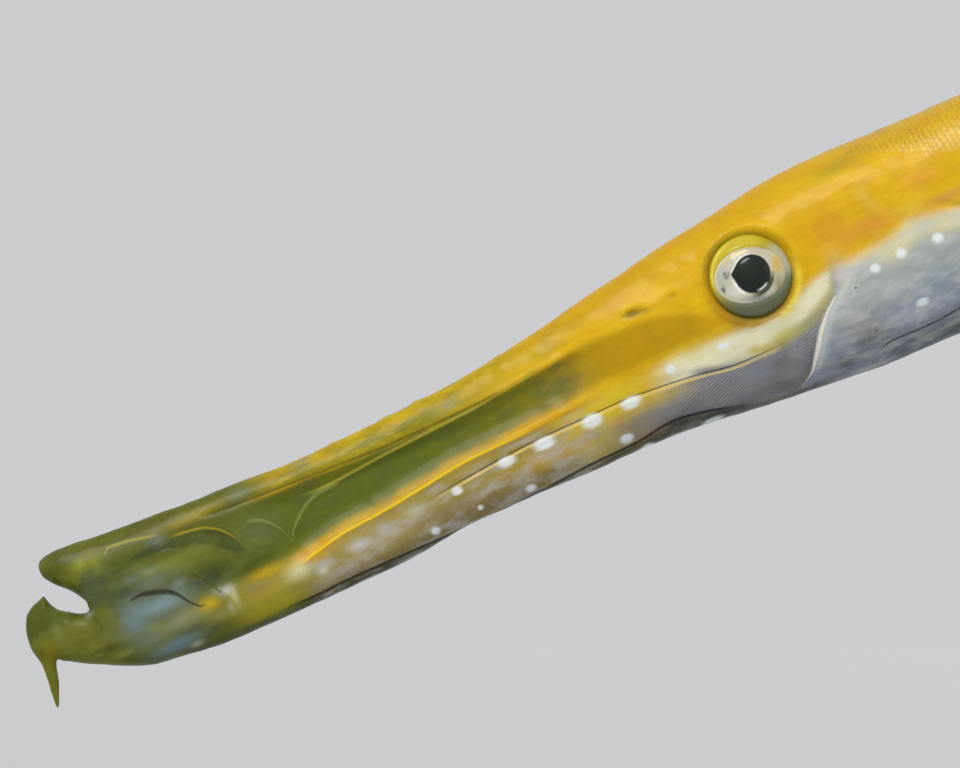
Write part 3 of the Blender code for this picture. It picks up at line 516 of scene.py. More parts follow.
def make_barbel():
    rows = through([(s, h, r) for (s, h), r in zip(BARBEL_PATH, BARBEL_RADII)], 6)
    middle = place(rows[:, 0], 0, rows[:, 1])
    out = np.zeros_like(middle)
    out[:, 1] = rows[:, 2] * MM
    return closed_loft(
        "barbel", oval_rings(middle, out, direction(rows[:, 0], 1, 0, 0) * rows[:, 2:] * MM, 32, 2)
    )


def make_strap(side):
    """The flat strap of bone that closes the corner of the mouth."""
    up = np.cos(np.linspace(0, math.pi, 40))[:, None]
    shrink = np.sqrt(np.maximum(1 - up**2, 0.004)) ** 0.8
    s, h = STRAP_CENTRE
    axis = direction(np.array(s), -math.sin(STRAP_LEAN), 0, math.cos(STRAP_LEAN))
    across = direction(np.array(s), math.cos(STRAP_LEAN), 0, math.sin(STRAP_LEAN))
    middle = place(s, side * STRAP_OUT, h) + axis * up * STRAP_HALF_SIZE[2] * MM
    outs = np.array([0.0, 1.0, 0.0]) * shrink * STRAP_HALF_SIZE[1] * MM
    return closed_loft(
        f"strap_{side}", oval_rings(middle, outs, across * shrink * STRAP_HALF_SIZE[0] * MM, 48, 2.3)
    )


def fuse(piece, others):
    """Joins closed bodies to a piece by one Boolean union, and removes them."""
    gathered = bpy.data.collections.new("to_fuse")
    for other in others:
        gathered.objects.link(other)
    union = piece.modifiers.new("union", "BOOLEAN")
    union.operation, union.operand_type, union.solver = "UNION", "COLLECTION", "MANIFOLD"
    union.collection = gathered
    fused = bpy.data.meshes.new_from_object(piece.evaluated_get(bpy.context.evaluated_depsgraph_get()))
    piece.modifiers.clear()
    piece.data = fused
    for other in others:
        bpy.data.objects.remove(other)
    bpy.data.collections.remove(gathered)


def relax(mesh, held, rounds):
    """Evens out the points of a mesh between their neighbours, where held is under 1."""
    points = mesh_points(mesh)
    ends = np.empty(len(mesh.edges) * 2, dtype=np.int64)
    mesh.edges.foreach_get("vertices", ends)
    first, second = ends.reshape(-1, 2).T
    count = np.bincount(first, minlength=len(points)) + np.bincount(second, minlength=len(points))
    share = held[:, None]
    for _ in range(rounds):
        total = np.zeros_like(points)
        np.add.at(total, first, points[second])
        np.add.at(total, second, points[first])
        points += (total / count[:, None] - points) * 0.5 * (1 - share)
    mesh.vertices.foreach_set("co", points.ravel())
    mesh.update()


def seam_held(mesh, until, sharp, spread):
    """Is 0 on the sharp edges in front of a place, where one body ran into the next, and 1 away from them."""
    points = mesh_points(mesh)
    shape = bmesh.new()
    shape.from_mesh(mesh)
    seam = np.zeros(len(points))
    for edge in shape.edges:
        if edge.is_manifold and edge.calc_face_angle() > sharp:
            seam[[edge.verts[0].index, edge.verts[1].index]] = 1.0
    ends = np.array([(edge.verts[0].index, edge.verts[1].index) for edge in shape.edges])
    shape.free()
    s, _, h = body_place(points)
    seam *= (s < until) & ~((s < 9) & (h > 3) & (h < 9)) | (s > 555)
    for _ in range(spread):
        wider = seam.copy()
        np.maximum.at(wider, ends[:, 0], seam[ends[:, 1]] * 0.9)
        np.maximum.at(wider, ends[:, 1], seam[ends[:, 0]] * 0.9)
        seam = wider
    return 1 - seam


skin = closed_loft("skin", skin_points)
fuse(skin, [make_jaw(), make_barbel(), make_strap(LEFT), make_strap(RIGHT)])
skin.data.materials.clear()
relax(skin.data, seam_held(skin.data, 34, math.radians(17), 7), 40)
skin.data.shade_smooth()
print("skin:", len(skin.data.vertices), "points,", len(skin.data.polygons), "faces")

# %% [markdown]
# ## The fish's colours
# The real skin is a deep golden yellow over silver: olive where the snout's hollow lets less light back,
# bluish and clear round the mouth, cream below the eye and silver-grey on the gill cover. Such broad,
# soft colours could come from an image, but this fish is painted by rule. One function lays colour over
# colour with soft masks drawn from the same curves as the relief, and its result is stored at each point.
# The paint also holds painted shade and a few painted highlights, each marked where it is laid.

# %% Colours, in linear red, green and blue
GOLD, DEEP_GOLD, MUSTARD = (0.72, 0.435, 0.004), (0.66, 0.33, 0.003), (0.47, 0.285, 0.002)
STRIP_OLIVE, HOLLOW_OLIVE, HOLLOW_GREY = (0.27, 0.245, 0.008), (0.115, 0.140, 0.010), (0.17, 0.17, 0.045)
TIP_OLIVE, TIP_GREEN, DARK_OLIVE = (0.110, 0.125, 0.012), (0.15, 0.155, 0.012), (0.045, 0.062, 0.012)
BAND, MAUVE, BROWN = (0.37, 0.285, 0.065), (0.27, 0.20, 0.12), (0.235, 0.165, 0.04)
LAVENDER, SILVER, PEARL = (0.205, 0.205, 0.225), (0.37, 0.41, 0.40), (0.64, 0.62, 0.54)
COVER_BLUE = (0.27, 0.30, 0.42)
CREAM, ORANGE, CORAL = (0.80, 0.77, 0.55), (0.66, 0.34, 0.004), (0.72, 0.30, 0.05)
BLUE_GREY, PALE_BLUE, CLEAR_BLUE = (0.20, 0.25, 0.20), (0.24, 0.36, 0.38), (0.17, 0.27, 0.30)
# The first colour below is the underside's own olive, deepened by painted shade.
UNDERSIDE_OLIVE_SHADE, FLANK = (0.045, 0.055, 0.028), (0.50, 0.47, 0.33)
BELLY, INK = (0.60, 0.58, 0.48), (0.030, 0.032, 0.015)

# Soft ovals of colour on the side of the head: (s, h), half sizes, colour and strength. They were set, then
# changed until small areas of the render came near the photograph's mean colours.
HEAD_PATCHES = [
    ((14.2, 10.4), (2.2, 1.6), (0.44, 0.47, 0.03), 0.9),
    ((11.0, 12.6), (2.4, 0.9), (0.060, 0.080, 0.018), 0.7),
    ((10.4, 8.9), (1.8, 1.1), (0.24, 0.26, 0.02), 0.8),
    ((20.0, 2.3), (1.5, 0.8), (0.035, 0.055, 0.035), 0.85),
    ((13.3, 8.3), (0.6, 0.5), (0.55, 0.58, 0.42), 0.9),
    ((15.6, 5.9), (3.2, 2.2), (0.070, 0.098, 0.045), 0.8),
    ((33.5, 10.2), (6.5, 0.9), (0.44, 0.32, 0.006), 0.85), ((26.5, 9.2), (1.6, 1.0), BLUE_GREY, 0.85),
    ((27.5, 4.2), (6.4, 1.5), (0.25, 0.27, 0.03), 0.9), ((21.8, 6.2), (1.8, 0.8), (0.18, 0.22, 0.045), 0.7),
    ((23.0, 3.1), (4.2, 1.1), (0.21, 0.27, 0.22), 0.7),
    ((31.5, -0.5), (3.9, 1.8), (0.040, 0.060, 0.025), 1.0),
    ((17.8, 3.5), (2.0, 1.0), (0.040, 0.066, 0.018), 0.95),
    ((17.6, -1.3), (3.2, 3.4), (0.185, 0.27, 0.25), 1.0),
    ((19.2, -5.6), (2.2, 1.0), (0.15, 0.21, 0.17), 0.8), ((22.8, -1.0), (5.0, 1.7), PALE_BLUE, 1.0),
    ((25.0, -4.7), (4.4, 1.7), (0.34, 0.35, 0.20), 0.95),
    ((20.4, -3.9), (1.8, 0.8), (0.30, 0.34, 0.09), 0.6),
    ((23.2, 4.9), (1.7, 0.7), (0.27, 0.33, 0.18), 0.75), ((20.0, 4.9), (1.5, 0.7), (0.18, 0.24, 0.25), 0.7),
    ((27.0, 1.1), (1.3, 0.8), (0.27, 0.34, 0.30), 0.75), ((24.2, 2.2), (1.2, 0.8), (0.20, 0.19, 0.14), 0.6),
    ((8.3, 1.7), (2.2, 0.8), (0.19, 0.20, 0.03), 0.6), ((11.4, 2.4), (0.8, 0.4), (0.40, 0.46, 0.40), 0.75),
    ((5.3, 2.2), (0.8, 1.6), (0.25, 0.29, 0.08), 0.7),
    ((11.3, -4.2), (2.8, 0.7), (0.052, 0.060, 0.004), 0.9),
    ((9.4, -4.4), (2.0, 0.35), (0.27, 0.30, 0.07), 0.6),
    ((13.4, -6.0), (2.2, 0.35), (0.27, 0.30, 0.07), 0.6),
    ((25.3, -7.2), (4.2, 0.7), (0.09, 0.12, 0.06), 0.85),
    ((29.4, -8.0), (1.6, 0.9), (0.055, 0.068, 0.040), 0.9),
    ((23.6, -8.2), (2.6, 0.8), (0.21, 0.31, 0.29), 0.8), ((22.0, -8.2), (4.2, 1.1), CLEAR_BLUE, 0.9),
    ((25.6, -9.4), (1.1, 0.45), (0.55, 0.58, 0.42), 0.85),
    ((39.0, -6.4), (7.0, 2.2), (0.42, 0.33, 0.03), 0.85), ((38.6, -4.9), (2.6, 1.1), MAUVE, 0.5),
    ((40.0, -0.9), (3.6, 1.5), (0.07, 0.088, 0.008), 0.85),
    ((42.8, 3.6), (3.6, 2.6), (0.13, 0.16, 0.06), 0.7),
    ((30.2, -4.2), (1.9, 1.2), (0.68, 0.50, 0.008), 1.0),
    # Painted highlight: a pale oval on the wet skin near the mouth.
    ((33.7, -3.3), (1.3, 0.8), (0.62, 0.62, 0.58), 0.95),
    ((34.4, -4.8), (0.6, 1.6), (0.66, 0.60, 0.30), 0.85),
    ((32.4, -2.7), (1.2, 0.45), (0.45, 0.46, 0.36), 0.7),
    ((31.4, -6.5), (2.4, 0.9), (0.40, 0.35, 0.10), 0.75),
    ((120.8, 1.2), (4.2, 1.4), (0.66, 0.47, 0.03), 0.6),
    ((33.2, -6.2), (0.35, 1.0), (0.66, 0.63, 0.45), 0.6),
    ((41.0, -3.4), (3.0, 0.9), (0.56, 0.35, 0.008), 0.8), ((49.0, -3.6), (3.4, 1.2), ORANGE, 0.95),
    ((46.0, -5.5), (2.3, 1.4), (0.72, 0.68, 0.36), 0.92),
    ((49.6, -6.8), (1.0, 0.8), (0.72, 0.72, 0.55), 0.9),
    ((43.5, -9.0), (6.0, 1.3), (0.40, 0.32, 0.02), 0.6), ((54.0, 10.9), (1.8, 0.7), BLUE_GREY, 0.8),
    ((42.0, 10.4), (2.0, 0.9), BLUE_GREY, 0.55), ((79.3, 9.1), (2.8, 0.8), (0.30, 0.32, 0.12), 0.8),
    ((98.8, 4.4), (4.5, 2.8), HOLLOW_GREY, 0.65), ((94.0, 0.6), (6.5, 1.3), ORANGE, 0.7),
    ((57.0, -5.6), (2.0, 0.9), (0.60, 0.57, 0.56), 0.85),
    ((53.1, -8.4), (1.8, 0.9), (0.42, 0.42, 0.42), 0.6),
    ((61.8, -4.9), (1.6, 0.9), (0.46, 0.42, 0.42), 0.85),
    ((67.8, -4.3), (1.7, 0.8), (0.48, 0.50, 0.34), 0.8),
    ((91.5, -5.4), (6.0, 1.7), (0.52, 0.32, 0.012), 0.75), ((76.0, -6.4), (7.0, 1.8), BROWN, 0.5),
    ((70.0, -6.6), (3.5, 1.2), MAUVE, 0.5), ((92.0, -8.0), (4.5, 1.3), (0.21, 0.16, 0.05), 0.7),
    ((99.4, -5.0), (3.0, 1.4), (0.34, 0.26, 0.05), 0.6),
    ((114.2, 10.7), (1.6, 0.55), (0.05, 0.055, 0.004), 0.95),
    ((116.0, 10.2), (1.6, 0.5), (0.20, 0.15, 0.003), 0.6),
    ((121.4, 10.6), (0.9, 0.4), (0.28, 0.18, 0.002), 0.6),
    ((120.3, 12.0), (6.0, 0.8), (0.80, 0.52, 0.02), 0.4),
    ((140.5, 3.0), (3.0, 1.4), (0.62, 0.33, 0.01), 0.45),
    ((127.8, 1.3), (5.0, 0.8), (0.40, 0.28, 0.01), 0.45),
    ((149.8, 9.8), (3.6, 3.2), (0.70, 0.32, 0.02), 0.85), ((157.4, 7.6), (3.6, 1.6), CORAL, 1.0),
    ((152.0, 7.2), (2.0, 1.6), CORAL, 0.5), ((167.5, 11.4), (3.0, 1.6), CORAL, 0.6),
    ((170.0, 6.8), (5.0, 0.8), (0.60, 0.30, 0.08), 0.75),
    ((163.0, 8.9), (5.5, 2.2), (0.76, 0.48, 0.01), 0.6),
    ((156.2, 19.0), (4.5, 1.1), (0.36, 0.29, 0.03), 0.6), ((148.8, 1.6), (1.6, 3.0), PEARL, 0.75),
    ((148.6, -7.0), (3.4, 2.0), (0.24, 0.22, 0.19), 0.6),
    ((150.8, -9.6), (2.6, 1.2), (0.17, 0.16, 0.16), 0.55),
    ((162.5, -6.0), (4.0, 2.6), (0.28, 0.34, 0.44), 0.7),
    ((148.0, -9.2), (3.2, 1.9), (0.17, 0.18, 0.13), 0.6),
    ((143.4, -11.6), (1.9, 1.2), (0.085, 0.10, 0.11), 0.8),
    # Painted highlight: a pale oval on the silver of the gill cover.
    ((154.5, -3.6), (3.4, 1.6), (0.46, 0.49, 0.48), 0.7),
    ((157.2, -8.6), (3.0, 1.2), (0.40, 0.42, 0.50), 0.6),
    ((132.6, -0.6), (6.0, 1.5), (0.86, 0.84, 0.66), 0.5),
    ((132.4, -4.1), (1.9, 0.7), (0.58, 0.36, 0.03), 0.9),
    ((130.4, -3.3), (1.2, 0.7), (0.62, 0.50, 0.04), 0.7),
    ((136.2, -3.0), (2.4, 1.0), (0.52, 0.49, 0.09), 0.8),
    ((133.0, -8.0), (2.6, 1.6), (0.17, 0.165, 0.145), 0.7),
    ((129.6, -7.2), (2.2, 1.2), (0.24, 0.28, 0.33), 0.7),
    ((137.6, -6.6), (1.6, 1.4), (0.23, 0.22, 0.29), 0.7),
    ((152.0, -13.8), (7.0, 0.9), (0.20, 0.26, 0.33), 0.6),
    ((135.0, -9.5), (2.2, 1.0), (0.36, 0.36, 0.34), 0.35),
]


def lay(colours, colour, mask):
    """Lays a colour over colours where a mask is 1, in place."""
    colours += (np.array(colour) - colours) * np.clip(mask, 0, 1)[..., None]


def paint_snout(colours, s, h):
    low, high, jaw = smooth(LOWER_RIDGE, s), smooth(STRIP_EDGE, s), smooth(JAW_LINE, s)
    strip = rise(h, high - 0.2, high + 0.4) * (1 - rise(s, 72, 98))
    lay(colours, STRIP_OLIVE, strip)
    lay(colours, (0.50, 0.34, 0.006), rise(h - smooth(BACK_LINE, s), -2.3, -0.8) * span(s, 34, 88, 10) * 0.85)
    top = smooth(MUSTARD_TOP, s)
    lay(
        colours, MUSTARD,
        (1 - rise(h, top - 0.9, top + 0.6)) * rise(h, low + 0.2, low + 2.5) * span(s, 78, 121, 9)
    )
    hollow = rise(h, low + 0.3, low + 2.4) * (1 - rise(h, high - 0.9, high - 0.1)) * (1 - rise(s, 86, 105))
    lay(colours, HOLLOW_OLIVE, hollow)
    lay(colours, (0.21, 0.19, 0.006), hollow * rise(s, 66, 100) * 0.8)
    between = rise(h, smooth(UPPER_RIDGE, s), smooth(UPPER_RIDGE, s) + 0.4) * (1 - rise(h, high - 0.6, high))
    lay(colours, (0.15, 0.15, 0.005), between * span(s, 54, 84, 8))
    below = 1 - rise(h, low - 0.5, low + 0.1)
    lay(colours, BAND, below * (1 - rise(s, 92, 108)))
    lay(
        colours, (0.50, 0.30, 0.003),
        rise(h, low - 0.3, low) * near(h - low - 0.3, 1.0) * span(s, 48, 84, 6) * 0.8
    )
    lay(colours, (0.66, 0.50, 0.03), (1 - rise(h, low - 2.0, low + 1.5)) * span(s, 100, 116, 9) * 0.8)
    under_jaw = 1 - rise(h, jaw - 0.9, jaw + 0.1)
    lay(colours, (0.34, 0.27, 0.06), under_jaw * (1 - rise(s, 60, 80)) * rise(h, jaw - 4, jaw))
    lay(colours, (0.25, 0.19, 0.07), under_jaw * (1 - rise(h, jaw - 5.5, jaw - 1.5)) * (1 - rise(s, 84, 100)))
    lay(colours, LAVENDER, under_jaw * rise(s, 90, 114) * (1 - rise(h, jaw - 4.5, jaw - 0.6)))
    lay(colours, LAVENDER, under_jaw * rise(s, 108, 124))


def paint_mouth(colours, s, h):
    front = 1 - rise(s, 40, 50)
    lay(colours, TIP_OLIVE, front)
    lay(colours, TIP_GREEN, front * rise(h, 9.4, 10.8) * 0.8)
    lay(colours, (0.34, 0.29, 0.015), front * (1 - rise(h, -4.0, -1.5)) * rise(s, 30, 37) * 0.9)
    lay(colours, (0.17, 0.18, 0.015), front * (1 - rise(h, 1.5, 3.2)) * (1 - rise(s, 12, 16)))
    crescent = rise(h, smooth(CRESCENT_LOW, s) - 0.5, smooth(CRESCENT_LOW, s) + 0.5)
    crescent *= 1 - rise(h, smooth(CRESCENT_TOP, s) - 0.4, smooth(CRESCENT_TOP, s) + 0.2)
    lay(colours, DARK_OLIVE, crescent * span(s, 22, 38.5, 2) * 0.9)


def paint_cheek(colours, s, h):
    edge, gold = smooth(CHEEK_EDGE, s), smooth(GOLD_EDGE, s)
    band = rise(h, edge - 2.0, edge - 1.0) * (1 - rise(h, gold - 1.2, gold + 0.5))
    lay(colours, CREAM, band * span(s, 119, 150, 9))
    lay(colours, (0.34, 0.31, 0.09), (1 - rise(h, edge + 0.9, edge + 2.4)) * span(s, 135, 147, 2.5) * 0.85)
    past = s - smooth(COVER_FRONT, h)
    lay(colours, LAVENDER, (1 - rise(h, edge - 0.7, edge + 0.5)) * span(s, 122, 148, 5))
    # Painted shadow: a dark band in the groove just in front of the gill cover's raised edge.
    lay(colours, (0.15, 0.155, 0.16), near(past + 0.7, 0.7) * span(h, -11.0, -2.6, 1.0) * 0.7)
    cover = rise(past / (0.5 + 2.6 * rise(h, -3, 2)), -0.7, 0.9) * (1 - rise(h, gold - 1.5, gold + 0.4))
    lay(colours, SILVER, cover * rise(s, 133, 137))
    lay(colours, COVER_BLUE, cover * (1 - rise(h, -8.5, -3.5)) * rise(s, 133, 137) * 0.75)
    lay(colours, PEARL, cover * rise(h, gold - 4.0, gold - 0.6) * rise(s, 142, 149) * 0.6)
    lay(colours, (0.78, 0.58, 0.20), near(h - gold + 0.5, 0.8) * span(s, 151, 166, 3) * 0.7)
    lay(
        colours, (0.74, 0.66, 0.34),
        near(h - gold + 2.4, 1.9) * rise(s, 152, 159) * (1 - rise(s, 172, 186)) * 0.7
    )
    lay(colours, (0.52, 0.61, 0.58), near(past - 1.1, 0.9) * span(h, -10.0, -0.5, 1.2) * 0.85)
    low = smooth(GILL_LOW_LINE, s)
    # Painted shade: the bluish grey skin below the gill's low line is laid darker, as the underside's shade.
    lay(
        colours, (0.115, 0.14, 0.165),
        (1 - rise(h, low - 2.2, low)) * rise(s, 146, 152) * (1 - rise(s, 170, 200))
    )
    arc = near(np.hypot(s - 163, h - 13) - 5.6, 1.0) * (1 - rise(h, 13, 16)) * (1 - rise(s, 162, 170))
    lay(colours, (0.78, 0.60, 0.10), arc * 0.6)


def paint_eye_rim(colours, s, h):
    """Olive above the eye, orange behind it and brown below it, where the skin turns in to the eye."""
    r, u, v = eye_distance(s, h), s - EYE_CENTRE[0], h - EYE_CENTRE[1]
    off_top = np.abs(np.angle(np.exp(1j * (np.arctan2(v, u) - 1.5))))
    rim = 1 - rise(r, 7.3, 8.0)
    lay(colours, (0.50, 0.27, 0.006), rim * 0.85)
    lay(colours, (0.26, 0.24, 0.012), (1 - rise(r, 7.5, 8.6)) * (1 - rise(off_top, 0.5, 1.5)) * 0.85)
    lay(colours, (0.38, 0.21, 0.010), (1 - rise(r, 7.7, 8.3)) * rise(off_top, 1.6, 2.4) * 0.9)
    lay(colours, (0.20, 0.17, 0.03), (1 - rise(r, 6.8, 7.5)) * rise(off_top, 1.9, 2.8) * 0.8)
    lay(colours, (0.86, 0.72, 0.06), near(r - 8.5, 0.5) * span(off_top, 1.7, 2.6, 0.4) * (u > 0) * 0.9)


def paint_trunk(colours, s, h):
    """Gold back, pale flank that turns yellow towards the tail, and the marks of the fins' roots."""
    behind = rise(s, 168, 190)
    lay(colours, GOLD, behind)
    gold, belly = smooth(GOLD_EDGE, s), smooth(BELLY_LINE, s)
    side = (1 - rise(h, gold - 3.5, gold + 2.5)) * behind
    yellow = rise(s, 250, 470)[..., None]
    lay(colours, np.array(FLANK) * (1 - yellow) + np.array((0.62, 0.43, 0.03)) * yellow, side)
    lay(colours, BELLY, (1 - rise(h, belly, belly + 7)) * behind * (1 - rise(s, 300, 480)) * 0.8)
    lay(colours, (0.58, 0.36, 0.006), rise(h, 8, 17) * rise(s, 190, 300) * 0.5)
    for share in (0.30, 0.43, 0.56, 0.69):
        line = h - (belly + (smooth(BACK_LINE, s) - belly) * share)
        lay(colours, (0.72, 0.70, 0.52), near(line, 0.55) * span(s, 195, 500, 25) * 0.42)
    height = smooth(BACK_LINE, s)
    lay(colours, INK, rise(h, height - 5, height) * span(s, 456, 508, 10) * 0.85)
    lay(colours, INK, (1 - rise(h, belly, belly + 4.5)) * span(s, 453, 508, 10) * 0.8)
    lay(colours, INK, patch(s, h, (333, -14.5), (4.5, 2.4)) * 0.85)


def paint(s, h):
    """The skin's broad colours at the places s and h of a side, with painted shade on the underside, towards
    the top of the back and on the snout's front.
    """
    colours = np.empty((*s.shape, 3))
    colours[:] = GOLD
    lay(colours, DEEP_GOLD, rise(h - smooth(BACK_LINE, s), -3.0, 0.3) * span(s, 92, 150, 12) * 0.35)
    paint_snout(colours, s, h)
    paint_mouth(colours, s, h)
    paint_cheek(colours, s, h)
    # Painted shade: the underside below the edge under the snout is laid in a very dark olive.
    under = (1 - rise(h, smooth(UNDER_EDGE, s) - 0.5, smooth(UNDER_EDGE, s) + 0.1)) * span(s, 34, 136, 8)
    lay(colours, UNDERSIDE_OLIVE_SHADE, under * 0.92)
    lay(colours, (0.085, 0.10, 0.02), (1 - rise(h, -10.4, -8.6)) * (1 - rise(s, 26, 40)) * 0.8)
    for centre, half_size, colour, strength in HEAD_PATCHES:
        lay(colours, colour, patch(s, h, centre, half_size) * strength)
    paint_eye_rim(colours, s, h)
    strap = rise(s - smooth(STRAP_FRONT, h), -0.2, 0.5) * (1 - rise(s - smooth(STRAP_REAR, h), -0.9, 0.6))
    lay(colours, (0.18, 0.18, 0.015), strap * span(h, -0.5, 10.5, 3.5) * 0.65)
    lay(colours, (0.075, 0.105, 0.05), strap * span(h, 4.6, 7.4, 3.4) * 0.8)
    barbel = (1 - rise(h, -0.5, 1.8)) * (1 - rise(s, 3.0, 5.5))
    lay(colours, (0.19, 0.19, 0.008), barbel)
    lay(colours, (0.30, 0.24, 0.010), patch(s, h, (2.7, -0.8), (0.9, 1.6)) * 0.8)
    lay(colours, (0.15, 0.12, 0.012), patch(s, h, (9.5, -1.3), (2.2, 0.9)) * 0.6)
    paint_trunk(colours, s, h)
    # Painted shade: the colours darken towards the top of the back and over the front of the snout.
    painted_shade = (1 - 0.2 * rise(h - smooth(BACK_LINE, s), -6.0, -0.5)) * (0.82 + 0.18 * rise(s, 30, 44))
    return colours * painted_shade[..., None]


def paint_clouds(s, h):
    """The tint of the cloudy patches at each place, with their strength as the fourth number."""
    low, high, gold = smooth(LOWER_RIDGE, s), smooth(STRIP_EDGE, s), smooth(GOLD_EDGE, s)
    clouds = np.zeros((*s.shape, 4))
    lay(clouds, (0.60, 0.29, 0.003, 0.40), rise(s, 96, 110))
    lay(clouds, (0.085, 0.115, 0.035, 0.5), rise(h, low, low + 2) * span(s, 52, 98, 6))
    lay(clouds, (0.56, 0.38, 0.006, 0.8), rise(h, high, high + 0.5) * span(s, 34, 96, 8))
    lay(clouds, (0.47, 0.43, 0.40, 0.65), (1 - rise(h, low - 1.2, low - 0.2)) * span(s, 50, 98, 8))
    lay(clouds, (0.20, 0.22, 0.05, 0.28), 1 - rise(s, 42, 50))
    cover = rise(s, 138, 145) * (1 - rise(h, gold - 2, gold + 0.5))
    lay(clouds, (0.35, 0.33, 0.34, 0.35), (1 - rise(h, gold - 4, gold - 2)) * rise(s, 104, 116))
    lay(clouds, (0.58, 0.59, 0.57, 0.6), cover)
    cheek = rise(h, smooth(CHEEK_EDGE, s) - 1, smooth(CHEEK_EDGE, s) + 1)
    cheek = cheek * (1 - rise(h, gold - 1.5, gold + 1.5))
    lay(clouds, (0.74, 0.62, 0.10, 0.22), cheek * span(s, 119, 144, 4))
    lay(clouds, (0.56, 0.35, 0.008, 0.35), rise(s, 172, 188))
    return clouds


print("patches of colour:", len(HEAD_PATCHES))

# %% [markdown]
# ## Fine lines, spots and stripes
# A line a few tenths of a millimetre wide is finer than the mesh, so it can't be stored as a colour. What
# can be stored is each point's distance from the line, divided by the line's half width: that changes
# evenly between points, and the material turns it into a crisp line where it passes through zero. Three
# lines that never meet share one vector, and a second vector says how strongly each is drawn.

# %% Distances from the drawn lines
WHITE_SPOTS = [
    ((107.9, -2.8), (2.2, 1.2)), ((100.7, -2.9), (2.2, 1.4)), ((91.9, -3.0), (2.3, 1.3)),
    ((84.9, -3.2), (2.0, 1.1)), ((75.4, -4.2), (1.2, 0.9)), ((104.7, -8.0), (1.4, 1.0)),
    ((69.4, -8.8), (1.0, 0.8)), ((86.8, -8.9), (1.2, 0.7)), ((116.2, -0.5), (1.1, 1.0)),
    ((125.8, -0.6), (1.3, 0.8)), ((154.3, 0.7), (1.1, 1.0)), ((159.3, 1.2), (1.2, 1.1)),
    ((165.9, 1.1), (1.3, 1.0)), ((159.1, -7.7), (1.5, 0.8)), ((92.0, -10.7), (1.6, 0.5)),
    ((107.3, -10.6), (1.4, 0.6)), ((118.9, -11.2), (2.4, 0.6)), ((77.8, -8.3), (0.7, 0.6)),
]
SPOT_SCALE, LINE_SPACING = 0.78, 0.40
# The stripes fan out from one place, by a slope from stripe to stripe that lessens past a length.
FAN_CENTRE, FRONT_FAN, REAR_FAN = (131.3, -5.1), (0.12, 4.6), (0.10, 8.0)


def gold_lines(s, h):
    """The lower and the upper ridge, or forward of them two seams of the mouth, then the jaw line's seam."""
    front = s < 46.9
    lower = np.where(front, (h - smooth(CRESCENT_TOP, s) - 0.15) / 0.22, (h - smooth(LOWER_RIDGE, s)) / 0.21)
    upper = np.where(front, (h - smooth(YELLOW_SEAM, s)) / 0.22, (h - smooth(UPPER_RIDGE, s)) / 0.24)
    seam = (h - smooth(JAW_LINE, s) + 0.5) / 0.17
    strength = (
        np.where(front, 0.3 * span(s, 31, 37, 3), span(s, 49, 88, 3) * (1 - 0.5 * rise(s, 80, 92))),
        np.where(front, 0.55 * span(s, 18.5, 26, 1.5), 0.75 * span(s, 57, 92, 7)),
        0.85 * span(s, 78, 126, 8),
    )
    return np.stack([lower, upper, seam], axis=-1), np.stack(strength, axis=-1)


def dark_lines(s, h):
    """The mouth's slit or the jaw line, the lens or the strip's edge, and the edge under the snout."""
    first = np.where(
        s < 46, (h - smooth(SLIT, s)) / (0.22 + 0.25 * span(s, 21.5, 26, 2)),
        (h - smooth(JAW_LINE, s)) / 0.14
    )
    second = np.where(s < 35, (h - smooth(LENS_LINE, s)) / 0.3, (h - smooth(STRIP_EDGE, s)) / 0.25)
    rear = s > 142
    third = np.where(rear, (h - smooth(GILL_LOW_LINE, s)) / 0.16, (h - smooth(UNDER_EDGE, s)) / 0.24)
    strength = (
        np.where(s < 46, 0.95 * span(s, 19.4, 28.2, 1.8), 0.75 * span(s, 78, 128, 10)),
        np.where(s < 35, 0.8 * span(s, 29.6, 32.4, 0.6), 0.65 * span(s, 39, 86, 4)),
        np.where(rear, 0.7 * span(s, 151, 170, 3), 0.9 * span(s, 46, 120, 8)),
    )
    return np.stack([first, second, third], axis=-1), np.stack(strength, axis=-1)


def steep_lines(s, h):
    """The gill cover's white front edge, the folds of the clear cheek, and the strap's edges."""
    edge = (s - smooth(COVER_FRONT, h)) / (0.25 + 0.2 * span(h, -8.5, -4.5, 1.5))
    front = s < 46.6
    fold = np.where(front, (h - smooth(CLEAR_FOLD, s)) / 0.3, (h - smooth(CHEEK_FOLD, s)) / 0.28)
    middle = (smooth(STRAP_FRONT, h) + smooth(STRAP_REAR, h)) / 2
    half = (smooth(STRAP_REAR, h) - smooth(STRAP_FRONT, h)) / 2
    strap = (np.abs(s - middle) - half) / 0.25
    strength = (
        0.95 * span(h, -11.0, -1.5, 1.2),
        np.where(front, 0.42 * span(s, 42, 45.9, 1), 0.45 * span(s, 48, 57, 1.5)),
        0.16 * span(h, 0.5, 7.0, 2.5) * (np.abs(s - middle) < 3),
    )
    return np.stack([edge, fold, strap], axis=-1), np.stack(strength, axis=-1)


